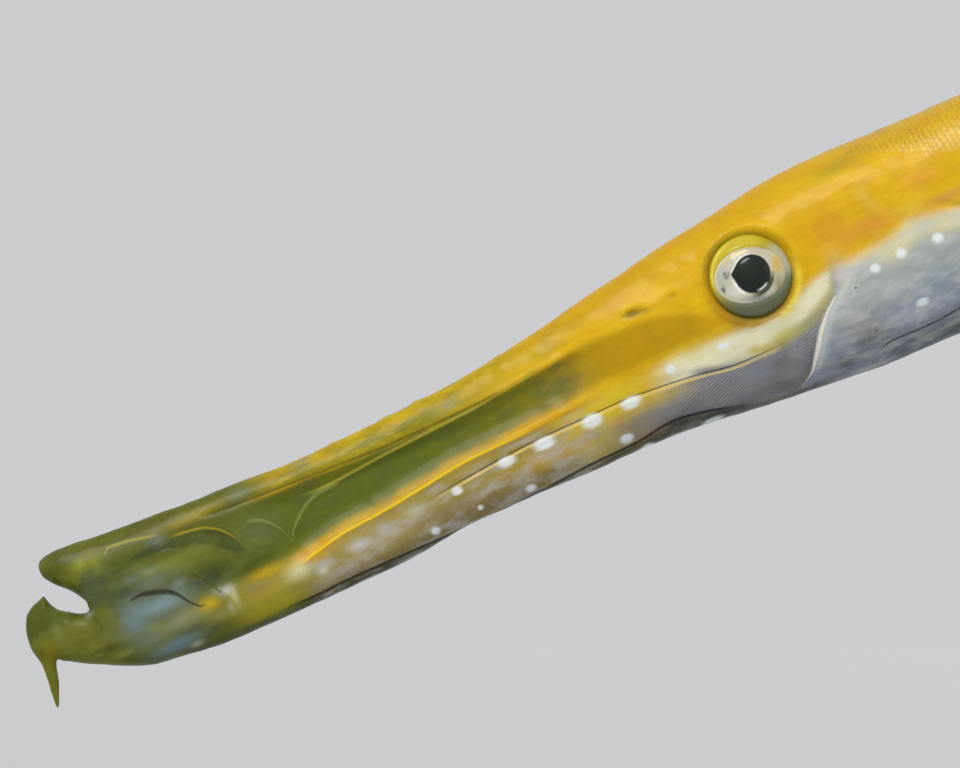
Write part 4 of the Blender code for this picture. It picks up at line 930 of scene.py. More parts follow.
def spots_and_stripes(s, h):
    """How near the closest white spot is, the stripes' phase and the stripes' strength."""
    spot = np.full(s.shape, 9.0)
    for centre, half_size in WHITE_SPOTS:
        away = np.hypot((s - centre[0]) / half_size[0], (h - centre[1]) / half_size[1])
        spot = np.minimum(spot, away / SPOT_SCALE)
    run, up = s - FAN_CENTRE[0], h - FAN_CENTRE[1]
    far, away = np.hypot(run, up), np.maximum(np.abs(run), 0.5)
    front_step, rear_step = [turn * away / np.hypot(1, away / reach) for turn, reach in (FRONT_FAN, REAR_FAN)]
    above = h - smooth(CHEEK_EDGE, s)
    phase = np.where(
        run < 0,
        (-up - 0.25 * away - 0.004 * away**2) / front_step,
        above / np.where(above > 0, LINE_SPACING, rear_step),
    )
    edge = np.where(s < 124, smooth(JAW_LINE, s), smooth(CHEEK_EDGE, s))
    before = (1 - rise(h, edge - 1.0, edge - 0.2)) * rise(far, 2.0, 3.4) * rise(s, 106, 124)
    before = before * (1 - rise(run + 0.35 * up, -3.2, -1.2)) * rise(h - smooth(UNDER_EDGE, s), 0.2, 1.2)
    behind = rise(far, 3.6, 4.8) * rise(up + 0.7 * run, 0.0, 1.2) * (1 - rise(above, 1.3, 1.7))
    behind = behind * (1 - rise(s - smooth(COVER_FRONT, h), -1.4, -0.5)) * (1 - rise(s, 144, 147))
    return np.stack([spot, phase, np.where(run < 0, before, behind)], axis=-1)


print("white spots:", len(WHITE_SPOTS))

# %% Store everything on the skin
def store(mesh, name, kind, values):
    """Stores one value for each point of a mesh under a name that materials can read."""
    held = mesh.attributes.new(name, kind, "POINT")
    key = "color" if kind == "FLOAT_COLOR" else ("vector" if kind == "FLOAT_VECTOR" else "value")
    held.data.foreach_set(key, np.ascontiguousarray(values, dtype=np.float32).ravel())


def with_alpha(colours):
    return np.concatenate([colours, np.ones((*colours.shape[:-1], 1))], axis=-1)


def mark(mesh, points):
    """Stores the markings at points in metres, one for each point of the mesh."""
    s, h = seen_place(points)
    true_s, y, true_h = body_place(points)
    store(mesh, "paint", "FLOAT_COLOR", with_alpha(paint(s, h)))
    store(mesh, "cloud", "FLOAT_COLOR", paint_clouds(s, h))
    store(mesh, "body_place", "FLOAT_VECTOR", np.stack([true_s, true_h, y], axis=-1))
    for name, drawn in (("gold", gold_lines(s, h)), ("dark", dark_lines(s, h)), ("steep", steep_lines(s, h))):
        store(mesh, f"{name}_lines", "FLOAT_VECTOR", drawn[0])
        store(mesh, f"{name}_strength", "FLOAT_VECTOR", drawn[1])
    store(mesh, "spots", "FLOAT_VECTOR", spots_and_stripes(s, h))


mark(skin.data, mesh_points(skin.data))
print("marked:", [a.name for a in skin.data.attributes if a.name.islower()][:12])

# %% [markdown]
# ## Effects that several materials share
# Live skin isn't one flat colour even where it is all gold: it has fine fibres along the snout, specks of
# dark pigment and a grain too small to model. These effects are node groups with named inputs, made once and
# placed in each material with its own numbers. They put out plain masks and values only. The gloss stays in
# each material's own shader.

# %% Helpers for node trees
class Wires:
    """Adds nodes to a tree in short lines. A value is either a number or another node's output."""

    def __init__(self, tree):
        self.tree = tree

    def node(self, kind, values=None, **settings):
        made = self.tree.nodes.new(kind)
        for name, value in settings.items():
            setattr(made, name, value)
        for key, value in (values or {}).items():
            self.feed(made.inputs[key], value)
        return made

    def feed(self, socket, value):
        if isinstance(value, bpy.types.NodeSocket):
            self.tree.links.new(value, socket)
        else:
            socket.default_value = value

    def math(self, operation, first, second=0.0, third=0.0, clamp=False):
        made = self.node(
            "ShaderNodeMath", {0: first, 1: second, 2: third}, operation=operation, use_clamp=clamp
        )
        return made.outputs[0]

    def blend(self, mask, first, second):
        made = self.node("ShaderNodeMix", {"Factor": mask}, data_type="RGBA")
        self.feed(made.inputs[6], first)
        self.feed(made.inputs[7], second)
        return made.outputs[2]

    def attribute(self, name, output="Vector"):
        return self.node("ShaderNodeAttribute", attribute_name=name).outputs[output]

    def split(self, vector):
        return self.node("ShaderNodeSeparateXYZ", {0: vector}).outputs

    def group(self, group, **values):
        made = self.node("ShaderNodeGroup", node_tree=group)
        for name, value in values.items():
            self.feed(made.inputs[name.replace("_", " ")], value)
        return made.outputs


def new_group(name, inputs, outputs):
    """An empty shader node group with named float, colour or vector sockets."""
    group = bpy.data.node_groups.new(name, "ShaderNodeTree")
    for title, kind, start in inputs:
        socket = group.interface.new_socket(title, in_out="INPUT", socket_type=f"NodeSocket{kind}")
        if start is not None:
            socket.default_value = start
    for title, kind in outputs:
        group.interface.new_socket(title, in_out="OUTPUT", socket_type=f"NodeSocket{kind}")
    wires = Wires(group)
    return group, wires, wires.node("NodeGroupInput").outputs, wires.node("NodeGroupOutput").inputs


def new_material(name):
    """A node material with its Principled shader, and wires to add nodes to it."""
    material = bpy.data.materials.new(name)
    material.use_nodes = True
    return material, Wires(material.node_tree), material.node_tree.nodes["Principled BSDF"]


def set_constants(shader, **values):
    """Sets a shader's own sockets, by their titles with a low line for each space."""
    for title, value in values.items():
        shader.inputs[title.replace("_", " ")].default_value = value


print("helpers for node trees are ready")

# %% Group: a drawn line
def make_line_group():
    """A mask that is 1 where the stored distance is under 1 and fades out over the softness."""
    inputs = [("Distance", "Float", 9.0), ("Strength", "Float", 1.0), ("Softness", "Float", 0.5)]
    group, wires, given, result = new_group("Drawn line", inputs, [("Mask", "Float")])
    away = wires.math("ABSOLUTE", given["Distance"])
    near_edge = wires.math("SUBTRACT", 1.0, given["Softness"])
    far_edge = wires.math("ADD", 1.0, given["Softness"])
    fade = wires.node(
        "ShaderNodeMapRange",
        {"Value": away, "From Min": near_edge, "From Max": far_edge, "To Min": 1.0, "To Max": 0.0},
        interpolation_type="SMOOTHSTEP",
    )
    wires.feed(result["Mask"], wires.math("MULTIPLY", fade.outputs[0], given["Strength"]))
    return group


def make_fibre_group():
    """Streaks that run along the body, from noise stretched in its own coordinates."""
    inputs = [("Place", "Vector", None), ("Length", "Float", 12.0), ("Thickness", "Float", 0.6)]
    group, wires, given, result = new_group("Fibres", inputs, [("Value", "Float")])
    s, h, y = wires.split(given["Place"])
    along = wires.math("DIVIDE", s, given["Length"])
    across = wires.math("DIVIDE", h, given["Thickness"])
    out = wires.math("DIVIDE", y, given["Thickness"])
    stretched = wires.node("ShaderNodeCombineXYZ", {0: along, 1: across, 2: out}).outputs[0]
    noise = wires.node(
        "ShaderNodeTexNoise", {"Vector": stretched, "Scale": 1.0, "Detail": 3.0, "Roughness": 0.55}
    )
    wires.feed(result["Value"], noise.outputs[0])
    return group


def make_speck_group():
    """Scattered dark specks of uneven size: a cell pattern of which only some cells hold a speck."""
    inputs = [
        ("Place", "Vector", None), ("Spacing", "Float", 3.0), ("Size", "Float", 0.1),
        ("Share", "Float", 0.3)
    ]
    group, wires, given, result = new_group("Specks", inputs, [("Mask", "Float")])
    scale = wires.math("DIVIDE", 1.0, given["Spacing"])
    cells = wires.node("ShaderNodeTexVoronoi", {"Vector": given["Place"], "Scale": scale})
    chance = wires.split(cells.outputs["Color"])
    kept = wires.math("LESS_THAN", chance[0], given["Share"])
    size = wires.math("MULTIPLY", given["Size"], wires.math("MULTIPLY_ADD", chance[1], 0.8, 0.4))
    fade = wires.node(
        "ShaderNodeMapRange",
        {"Value": cells.outputs["Distance"], "From Min": wires.math("MULTIPLY", size, 0.5), "From Max": size},
    )
    fade.inputs["To Min"].default_value, fade.inputs["To Max"].default_value = 1.0, 0.0
    wires.feed(result["Mask"], wires.math("MULTIPLY", fade.outputs[0], kept))
    return group


def make_grain_group():
    """A fine height in millimetres: pores and tiny folds, from two sizes of noise."""
    inputs = [("Place", "Vector", None), ("Fold Size", "Float", 1.6), ("Pore Size", "Float", 0.35)]
    group, wires, given, result = new_group("Skin grain", inputs, [("Height", "Float")])
    folds = wires.node("ShaderNodeTexNoise", {"Vector": given["Place"], "Detail": 2.0})
    wires.feed(folds.inputs["Scale"], wires.math("DIVIDE", 1.0, given["Fold Size"]))
    pores = wires.node("ShaderNodeTexNoise", {"Vector": given["Place"], "Detail": 1.0})
    wires.feed(pores.inputs["Scale"], wires.math("DIVIDE", 1.0, given["Pore Size"]))
    height = wires.math(
        "MULTIPLY_ADD", folds.outputs[0], 0.035, wires.math("MULTIPLY", pores.outputs[0], 0.012)
    )
    wires.feed(result["Height"], height)
    return group


LINE, FIBRES, SPECKS, GRAIN = make_line_group(), make_fibre_group(), make_speck_group(), make_grain_group()
print("groups:", LINE.name, FIBRES.name, SPECKS.name, GRAIN.name)

# %% [markdown]
# ## The skin's material
# Wet fish skin is smooth, a little see-through and coated with clear slime. One Principled shader does
# that, with some light let in under the surface and a thin clear coat. Its colour starts from the paint
# stored on the mesh. The drawn lines, the white spots and the stripes of the gill skin are laid over it.

# %% Group: the fish's markings
LINE_COLOURS = {
    "gold_lines": [(0.86, 0.58, 0.02), (0.44, 0.38, 0.03), (0.74, 0.54, 0.16)],
    "dark_lines": [(0.035, 0.038, 0.020), (0.075, 0.075, 0.006), (0.015, 0.020, 0.012)],
    "steep_lines": [(0.86, 0.80, 0.70), (0.30, 0.33, 0.09), (0.06, 0.075, 0.015)],
}


def make_marking_group():
    """The fish's whole colour, from its stored paint, lines, spots and stripes, and the stripes' height."""
    outputs = [("Color", "Color"), ("Height", "Float")]
    group, wires, _, result = new_group("Markings", [], outputs)
    spot_of = wires.split(wires.attribute("spots"))
    body = wires.attribute("body_place")
    fibres = wires.group(FIBRES, Place=body, Length=9.0, Thickness=0.45)["Value"]
    mottle = wires.node("ShaderNodeTexNoise", {"Vector": body, "Scale": 0.22, "Detail": 4.0}).outputs[0]
    shade = wires.math("MULTIPLY_ADD", fibres, 0.20, wires.math("MULTIPLY_ADD", mottle, 0.30, 0.75))
    colour = wires.node("ShaderNodeVectorMath", {0: wires.attribute("paint", "Color")}, operation="SCALE")
    wires.feed(colour.inputs["Scale"], shade)
    stretched = wires.node(
        "ShaderNodeVectorMath", {0: body, 1: (0.22, 0.50, 0.50)}, operation="MULTIPLY"
    ).outputs[0]
    clouds = wires.node(
        "ShaderNodeTexNoise", {"Vector": stretched, "Scale": 1.0, "Detail": 3.0, "Roughness": 0.58}
    )
    patchy = wires.node(
        "ShaderNodeMapRange", {"Value": clouds.outputs[0], "From Min": 0.42, "From Max": 0.66}
    )
    cloud = wires.node("ShaderNodeAttribute", attribute_name="cloud").outputs
    colour = wires.blend(
        wires.math("MULTIPLY", patchy.outputs[0], cloud["Alpha"]), colour.outputs[0], cloud["Color"]
    )
    wobble = wires.node("ShaderNodeTexNoise", {"Vector": body, "Scale": 2.2, "Detail": 2.0}).outputs[0]
    ragged = wires.math("MULTIPLY_ADD", wires.math("SUBTRACT", fibres, 0.5), 0.8, spot_of[0])
    stripe = wires.math("SINE", wires.math("MULTIPLY", spot_of[1], 2 * math.pi))
    stripe = wires.math("MULTIPLY_ADD", stripe, 0.5, 0.5)
    stripe = wires.math("MULTIPLY", wires.math("POWER", stripe, 4.0), spot_of[2])
    stripe = wires.math("MULTIPLY", stripe, wires.math("MULTIPLY_ADD", wobble, 1.6, -0.1, clamp=True))
    colour = wires.blend(wires.math("MULTIPLY", stripe, 0.6), colour, (0.50, 0.52, 0.50, 1))
    for name, tints in LINE_COLOURS.items():
        distances = wires.split(wires.attribute(name))
        strengths = wires.split(wires.attribute(name.replace("lines", "strength")))
        for distance, strength, tint in zip(distances, strengths, tints):
            uneven = wires.math(
                "MULTIPLY", strength, wires.math("MULTIPLY_ADD", wobble, 0.9, 0.55, clamp=True)
            )
            mask = wires.group(LINE, Distance=distance, Strength=uneven, Softness=0.55)["Mask"]
            colour = wires.blend(mask, colour, (*tint, 1))
    white = wires.group(LINE, Distance=ragged, Strength=0.92, Softness=0.45)["Mask"]
    colour = wires.blend(white, colour, (0.80, 0.86, 0.86, 1))
    specks = wires.group(SPECKS, Place=body, Spacing=4.5, Size=0.055, Share=0.30)["Mask"]
    colour = wires.blend(wires.math("MULTIPLY", specks, 0.8), colour, (0.05, 0.04, 0.012, 1))
    wires.feed(result["Color"], colour)
    wires.feed(
        result["Height"], wires.math("MULTIPLY_ADD", stripe, 0.05, wires.math("MULTIPLY", white, 0.04))
    )
    return group


MARKINGS = make_marking_group()
print("markings group:", len(MARKINGS.nodes), "nodes")

# %% Skin material
def make_skin_material():
    material, wires, shader = new_material("wet_skin")
    body = wires.attribute("body_place")
    marks = wires.group(MARKINGS)
    grain = wires.group(GRAIN, Place=body)["Height"]
    height = wires.math("ADD", grain, marks["Height"])
    bump = wires.node("ShaderNodeBump", {"Strength": 0.6, "Distance": MM, "Height": height})
    wires.feed(shader.inputs["Base Color"], marks["Color"])
    wires.feed(shader.inputs["Roughness"], wires.math("MULTIPLY_ADD", grain, 3.0, 0.34))
    wires.feed(shader.inputs["Normal"], bump.outputs[0])
    set_constants(
        shader, IOR=1.33, Subsurface_Weight=0.12, Subsurface_Radius=(1.0, 0.6, 0.25),
        Subsurface_Scale=1.2 * MM, Specular_IOR_Level=0.2, Coat_Weight=0.07, Coat_Roughness=0.12
    )
    return material


skin.data.materials.append(make_skin_material())
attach(skin, "root")
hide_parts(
    "snout", "lower_jaw", "chin_barbel", "maxilla_left", "maxilla_right", "head", "gill_cover_left",
    "gill_cover_right", "trunk_front", "trunk_middle", "trunk_rear", "tail_stalk",
)
print("skin finished")

# %% [markdown]
# ## Scales
# Behind the head a trumpetfish is covered with small rough scales about a millimetre across, each one
# lapping over the next towards the tail. On the nape their dark edges show in the photograph. A bump
# would hint at them, but real scales break the light and the outline, so each one is a small closed
# plate. The roots are set in staggered rows, the same number in every row, so that they shrink towards
# the tail as real ones do. A Geometry Nodes tree puts a plate on each root and makes them one mesh.

# %% Roots of the scales
SCALE_SECTIONS = [  # name, start, end and scales round the body
    ("scales_nape", 147.0, 240.0, 104), ("scales_front", 240.0, 335.0, 104),
    ("scales_middle", 335.0, 430.0, 104),
    ("scales_rear", 430.0, 468.0, 92), ("scales_hind", 468.0, 496.0, 74), ("scales_stalk", 496.0, 558.0, 54),
]
SCALE_LENGTH, SCALE_WIDTH, SCALE_THICKNESS, SCALE_SEED = 1.7, 1.35, 0.075, 11


def girth(s):
    """The body's girth in millimetres at the places s."""
    y, h = half_rings(s, 60)
    return 2 * np.hypot(np.diff(y, axis=1), np.diff(h, axis=1)).sum(axis=1)


def scale_rows(start, end, around):
    """Rows along the body, as far apart as the scales are wide there."""
    measured = np.linspace(start, end, 40)
    spacing = girth(measured) / around
    rows = [start]
    while rows[-1] < end:
        rows.append(rows[-1] + float(np.interp(rows[-1], measured, spacing)) * 0.98)
    return np.array(rows)


def scaliness(s, h):
    """How much of a scale shows at a place: none on the face and gill cover, whole behind them."""
    return rise(h - smooth(NAPE_SCALES, s), -2.5, 4.0) * (0.35 + 0.65 * rise(s, 160, 230))


def scale_roots(start, end, around):
    """Everything that the scales of one section need, one row of numbers for each root."""
    rows = scale_rows(start, end, around)
    points, normals = raised_rings(rows, around + 1, SKIN_INSET)
    staggered = np.add.outer(np.arange(len(rows)), np.arange(2 * around)) % 2 == 0
    s, _, h = body_place(points)
    shown = scaliness(s, h)
    lie = np.gradient(points, axis=0)
    lie /= np.linalg.norm(lie, axis=-1, keepdims=True)
    points = points - normals * (0.005 + 0.06 * (1 - shown))[..., None] * MM
    unwrap = np.zeros_like(points)
    unwrap[..., 0] = 0.01 + 0.97 * (
        (s - SCALE_SECTIONS[0][1]) / (SCALE_SECTIONS[-1][2] - SCALE_SECTIONS[0][1])
    )
    unwrap[..., 1] = np.linspace(0.01, 0.985, points.shape[1])[None, :]
    size = np.repeat((girth(rows) / around)[:, None], points.shape[1], axis=1)
    draw = np.random.default_rng(SCALE_SEED).uniform(-0.13, 0.13, (*s.shape, 4))
    below_back = smooth(BACK_LINE, s) - h
    dusky = near(below_back - 3.6, 3.2) * (0.55 + 3.4 * draw[..., 3])
    kept = staggered & (shown > 0.08)
    side = np.cross(normals, lie)
    points = points + (lie * draw[..., :1] + side * draw[..., 1:2]) * size[..., None] * MM
    lie = lie + side * draw[..., 2:3] * 1.2
    return {
        "points": points[kept], "normal": normals[kept], "lie": lie[kept], "size": size[kept] * MM,
        "unwrap": unwrap[kept], "dusky": 0.08 + 0.8 * dusky[kept],
    }


print("girth behind the head:", girth(np.array([190.0])).round(1), "mm")

# %% One scale
def make_scale_shape():
    """A plate of twelve faces, one unit long and wide: sunk at its front, lifted at its rear edge."""
    rim = [
        (-0.5, 0.0, -0.4), (-0.25, 0.42, 0.1), (0.25, 0.46, 0.75),
        (0.5, 0.0, 1.0), (0.25, -0.46, 0.75), (-0.25, -0.42, 0.1),
    ]
    top, bottom = (0.12, 0.0, 1.15), (0.0, 0.0, -0.9)
    faces = []
    for k in range(6):
        after = (k + 1) % 6
        faces += [(6, after, k), (7, k, after)]
    mesh = bpy.data.meshes.new("scale_shape")
    mesh.from_pydata([*rim, top, bottom], [], faces)
    mesh.attributes.new("patch", "FLOAT_VECTOR", "POINT")
    mesh.attributes["patch"].data.foreach_set(
        "vector", [c for x, y, _ in [*rim, top, bottom] for c in (x, y, 0.0)]
    )
    mesh.attributes.new("rim", "FLOAT", "POINT")
    mesh.attributes["rim"].data.foreach_set("value", [0.1, 0.35, 0.7, 1.0, 0.7, 0.35, 0.0, 1.0])
    shape = bpy.data.objects.new("scale_shape", mesh)
    if mesh.polygons[0].normal.z < 0:
        mesh.flip_normals()
    mesh.shade_smooth()
    mesh.set_sharp_from_angle(angle=math.radians(60))
    return shape


scale_shape = make_scale_shape()
print("faces in a scale:", len(scale_shape.data.polygons))

# %% Geometry Nodes tree that sets the scales
def make_scale_tree():
    """Puts a scale on each root, turned by its normal and lie, and gives each its patch of the unwrap."""
    tree = bpy.data.node_groups.new("Set scales", "GeometryNodeTree")
    tree.interface.new_socket("Roots", in_out="INPUT", socket_type="NodeSocketGeometry")
    tree.interface.new_socket("Scale shape", in_out="INPUT", socket_type="NodeSocketObject")
    for title, start in (
        ("Length", 1.6), ("Width", 1.3), ("Thickness", 0.1), ("Patch size", 0.003), ("Seed", 7)
    ):
        kind = "NodeSocketInt" if title == "Seed" else "NodeSocketFloat"
        socket = tree.interface.new_socket(title, in_out="INPUT", socket_type=kind)
        socket.default_value = start
    tree.interface.new_socket("Finish", in_out="INPUT", socket_type="NodeSocketMaterial")
    tree.interface.new_socket("Scales", in_out="OUTPUT", socket_type="NodeSocketGeometry")
    wires = Wires(tree)
    given = wires.node("NodeGroupInput").outputs

    def read(name, kind):
        found = wires.node("GeometryNodeInputNamedAttribute", {"Name": name}, data_type=kind)
        return found.outputs["Attribute"]

    turn = wires.node(
        "FunctionNodeAxesToRotation",
        {
            "Primary Axis": read("root_normal", "FLOAT_VECTOR"),
            "Secondary Axis": read("root_lie", "FLOAT_VECTOR")
        },
        primary_axis="Z",
        secondary_axis="X",
    ).outputs[0]
    draw = wires.node("FunctionNodeRandomValue", {"Seed": given["Seed"]}, data_type="FLOAT")
    for title, value in (("Min", 0.86), ("Max", 1.1)):
        limit = [socket for socket in draw.inputs if socket.name == title and socket.type == "VALUE"][0]
        limit.default_value = value
    drawn = [socket for socket in draw.outputs if socket.type == "VALUE"][0]
    root_size = wires.math("MULTIPLY", read("root_size", "FLOAT"), drawn)
    size = wires.node(
        "ShaderNodeCombineXYZ",
        {
            0: wires.math("MULTIPLY", root_size, given["Length"]),
            1: wires.math("MULTIPLY", root_size, given["Width"]),
            2: wires.math("MULTIPLY", root_size, given["Thickness"]),
        },
    ).outputs[0]
    shape = wires.node("GeometryNodeObjectInfo", {"Object": given["Scale shape"]})
    placed = wires.node(
        "GeometryNodeInstanceOnPoints",
        {"Points": given["Roots"], "Instance": shape.outputs["Geometry"], "Rotation": turn, "Scale": size},
    )
    real = wires.node("GeometryNodeRealizeInstances", {"Geometry": placed.outputs[0]})
    offset = wires.node("ShaderNodeVectorMath", {0: read("patch", "FLOAT_VECTOR")}, operation="SCALE")
    wires.feed(offset.inputs["Scale"], given["Patch size"])
    unwrap = wires.node(
        "ShaderNodeVectorMath", {0: read("root_unwrap", "FLOAT_VECTOR"), 1: offset.outputs[0]}
    )
    named = wires.node(
        "GeometryNodeStoreNamedAttribute",
        {"Geometry": real.outputs[0], "Name": "OFBake"},
        data_type="FLOAT2",
        domain="CORNER",
    )
    wires.feed([socket for socket in named.inputs if socket.name == "Value"][0], unwrap.outputs[0])
    finished = wires.node(
        "GeometryNodeSetMaterial", {"Geometry": named.outputs[0], "Material": given["Finish"]}
    )
    result = wires.node("NodeGroupOutput")
    wires.feed(result.inputs["Scales"], finished.outputs[0])
    return tree


def set_inputs(modifier, **values):
    """Sets a Geometry Nodes modifier's inputs by their titles, through the sockets' identifiers."""
    wanted = {title.replace("_", " "): value for title, value in values.items()}
    for item in modifier.node_group.interface.items_tree:
        if item.item_type == "SOCKET" and item.in_out == "INPUT" and item.name in wanted:
            modifier[item.identifier] = wanted[item.name]


def grown(name, source, tree, **values):
    """A plain mesh object made by a Geometry Nodes tree from a source mesh."""
    seedbed = bpy.data.objects.new(name, source)
    bpy.context.scene.collection.objects.link(seedbed)
    modifier = seedbed.modifiers.new("grow", "NODES")
    modifier.node_group = tree
    set_inputs(modifier, **values)
    result = bpy.data.meshes.new_from_object(seedbed.evaluated_get(bpy.context.evaluated_depsgraph_get()))
    if result.materials[0] is None:
        result.materials.pop(index=0)
    seedbed.modifiers.remove(modifier)
    seedbed.data = result
    result.name = name
    bpy.data.meshes.remove(source)
    return seedbed


SCALE_TREE = make_scale_tree()
print("scale tree:", len(SCALE_TREE.nodes), "nodes")

# %% [markdown]
# ## The coat of scales
# Each scale takes its colour from the same markings as the skin, read at its root, so the coat and the
# skin show one pattern. Its free edge is darker on the nape and back, which is what draws the fine net
# that the photograph shows there. The coat is parted along the body, to keep each mesh small enough.

# %% Scale material
def make_scale_material():
    material, wires, shader = new_material("scales")
    marks = wires.group(MARKINGS)
    rim, dusky = wires.attribute("rim", "Fac"), wires.attribute("dusky", "Fac")
    shade = wires.math("MULTIPLY", wires.math("MULTIPLY", rim, rim), dusky)
    colour = wires.blend(shade, marks["Color"], (0.14, 0.13, 0.02, 1))
    wires.feed(shader.inputs["Base Color"], colour)
    wires.feed(shader.inputs["Roughness"], wires.math("MULTIPLY_ADD", rim, 0.12, 0.30))
    set_constants(shader, IOR=1.36, Specular_IOR_Level=0.4, Coat_Weight=0.1, Coat_Roughness=0.2)
    return material


SCALE_FINISH = make_scale_material()


def make_coat(name, start, end, around):
    """The scales whose roots lie between two places along the body."""
    found = scale_roots(start, end, around)
    roots = bpy.data.meshes.new(f"{name}_roots")
    roots.from_pydata(found["points"].tolist(), [], [])
    mark(roots, found["points"])
    for title in ("normal", "lie", "unwrap"):
        store(roots, f"root_{title}", "FLOAT_VECTOR", found[title])
    store(roots, "root_size", "FLOAT", found["size"])
    store(roots, "dusky", "FLOAT", found["dusky"])
    coat = grown(
        name, roots, SCALE_TREE, Scale_shape=scale_shape, Length=SCALE_LENGTH, Width=SCALE_WIDTH,
        Thickness=SCALE_THICKNESS, Patch_size=0.003, Seed=7, Finish=SCALE_FINISH,
    )
    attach(coat, "root")
    print(name, "scales:", len(found["points"]), "triangles:", len(coat.data.polygons))


for section in SCALE_SECTIONS:
    make_coat(*section)
bpy.data.objects.remove(scale_shape)

# %% [markdown]
# ## Eyes
# The eye is a lens under a clear dome: a black pupil with a pointed front edge, a silver iris dusted with
# gold and freckles, and an olive outer ring that the skin's rim grips. A texture could carry this, but
# the rings are where light catches, so they are modelled as a fine dome with a raised pupil and grooves.
# Its colours are laid ring over ring from the distance and angle to the pupil, with a painted glint on the
# pupil's lower right edge and a painted shadow just outside it. A clear coat stands for the wet cornea.

# %% Colours and shape of the eye
PUPIL_CENTRE, PUPIL_HALF_SIZE, PUPIL_POINT = (0.25, -0.25), (3.0, 3.25), 1.17
IRIS_CENTRE, IRIS_HALF_SIZE, IRIS_TURN = (-0.15, -0.35), (5.95, 4.65), math.radians(13)
IRIS_SILVER, IRIS_PINK, IRIS_GOLD = (0.56, 0.55, 0.43), (0.56, 0.43, 0.33), (0.62, 0.42, 0.06)
RING_YELLOW, RING_OLIVE, RING_GREY = (0.55, 0.44, 0.02), (0.26, 0.25, 0.03), (0.15, 0.175, 0.115)
# The last colour here draws the iris's freckles and a painted shadow beside the pupil.
PUPIL_BLACK, EYE_WHITE, EYE_FRECKLE_AND_SHADOW = (0.006, 0.012, 0.007), (0.92, 0.91, 0.84), (0.045, 0.05, 0.025)


def facing_axes(side):
    """The eye's own directions: tailward, upward and outward."""
    s = np.array(EYE_CENTRE[0])
    out = direction(s, 0, side * math.cos(EYE_TILT), math.sin(EYE_TILT))
    along = direction(s, 1, 0, 0)
    return along, np.cross(along, out) * side, out


def toward(u, v, degrees, spread):
    """Is 1 in one direction round the middle, by angles from the tailward horizontal, and 0 away from it."""
    off = np.angle(np.exp(1j * (np.arctan2(v, u) - math.radians(degrees))))
    return 1 - rise(np.abs(off), math.radians(spread) * 0.4, math.radians(spread))


def pupil_edge(u, v):
    """Is 1 on the pupil's edge and less inside: an oval drawn out to a point towards the snout."""
    x, y = (u - PUPIL_CENTRE[0]) / PUPIL_HALF_SIZE[0], (v - PUPIL_CENTRE[1]) / PUPIL_HALF_SIZE[1]
    off_point = np.abs(np.angle(np.exp(1j * (np.arctan2(y, x) - math.radians(182)))))
    return np.hypot(x, y) * np.cos(np.maximum(math.acos(1 / PUPIL_POINT) - off_point, 0))


def iris_edge(u, v):
    """Is 1 on the iris's edge, a tilted oval."""
    x, y = u - IRIS_CENTRE[0], v - IRIS_CENTRE[1]
    cos, sin = math.cos(IRIS_TURN), math.sin(IRIS_TURN)
    return np.hypot((x * cos + y * sin) / IRIS_HALF_SIZE[0], (y * cos - x * sin) / IRIS_HALF_SIZE[1])


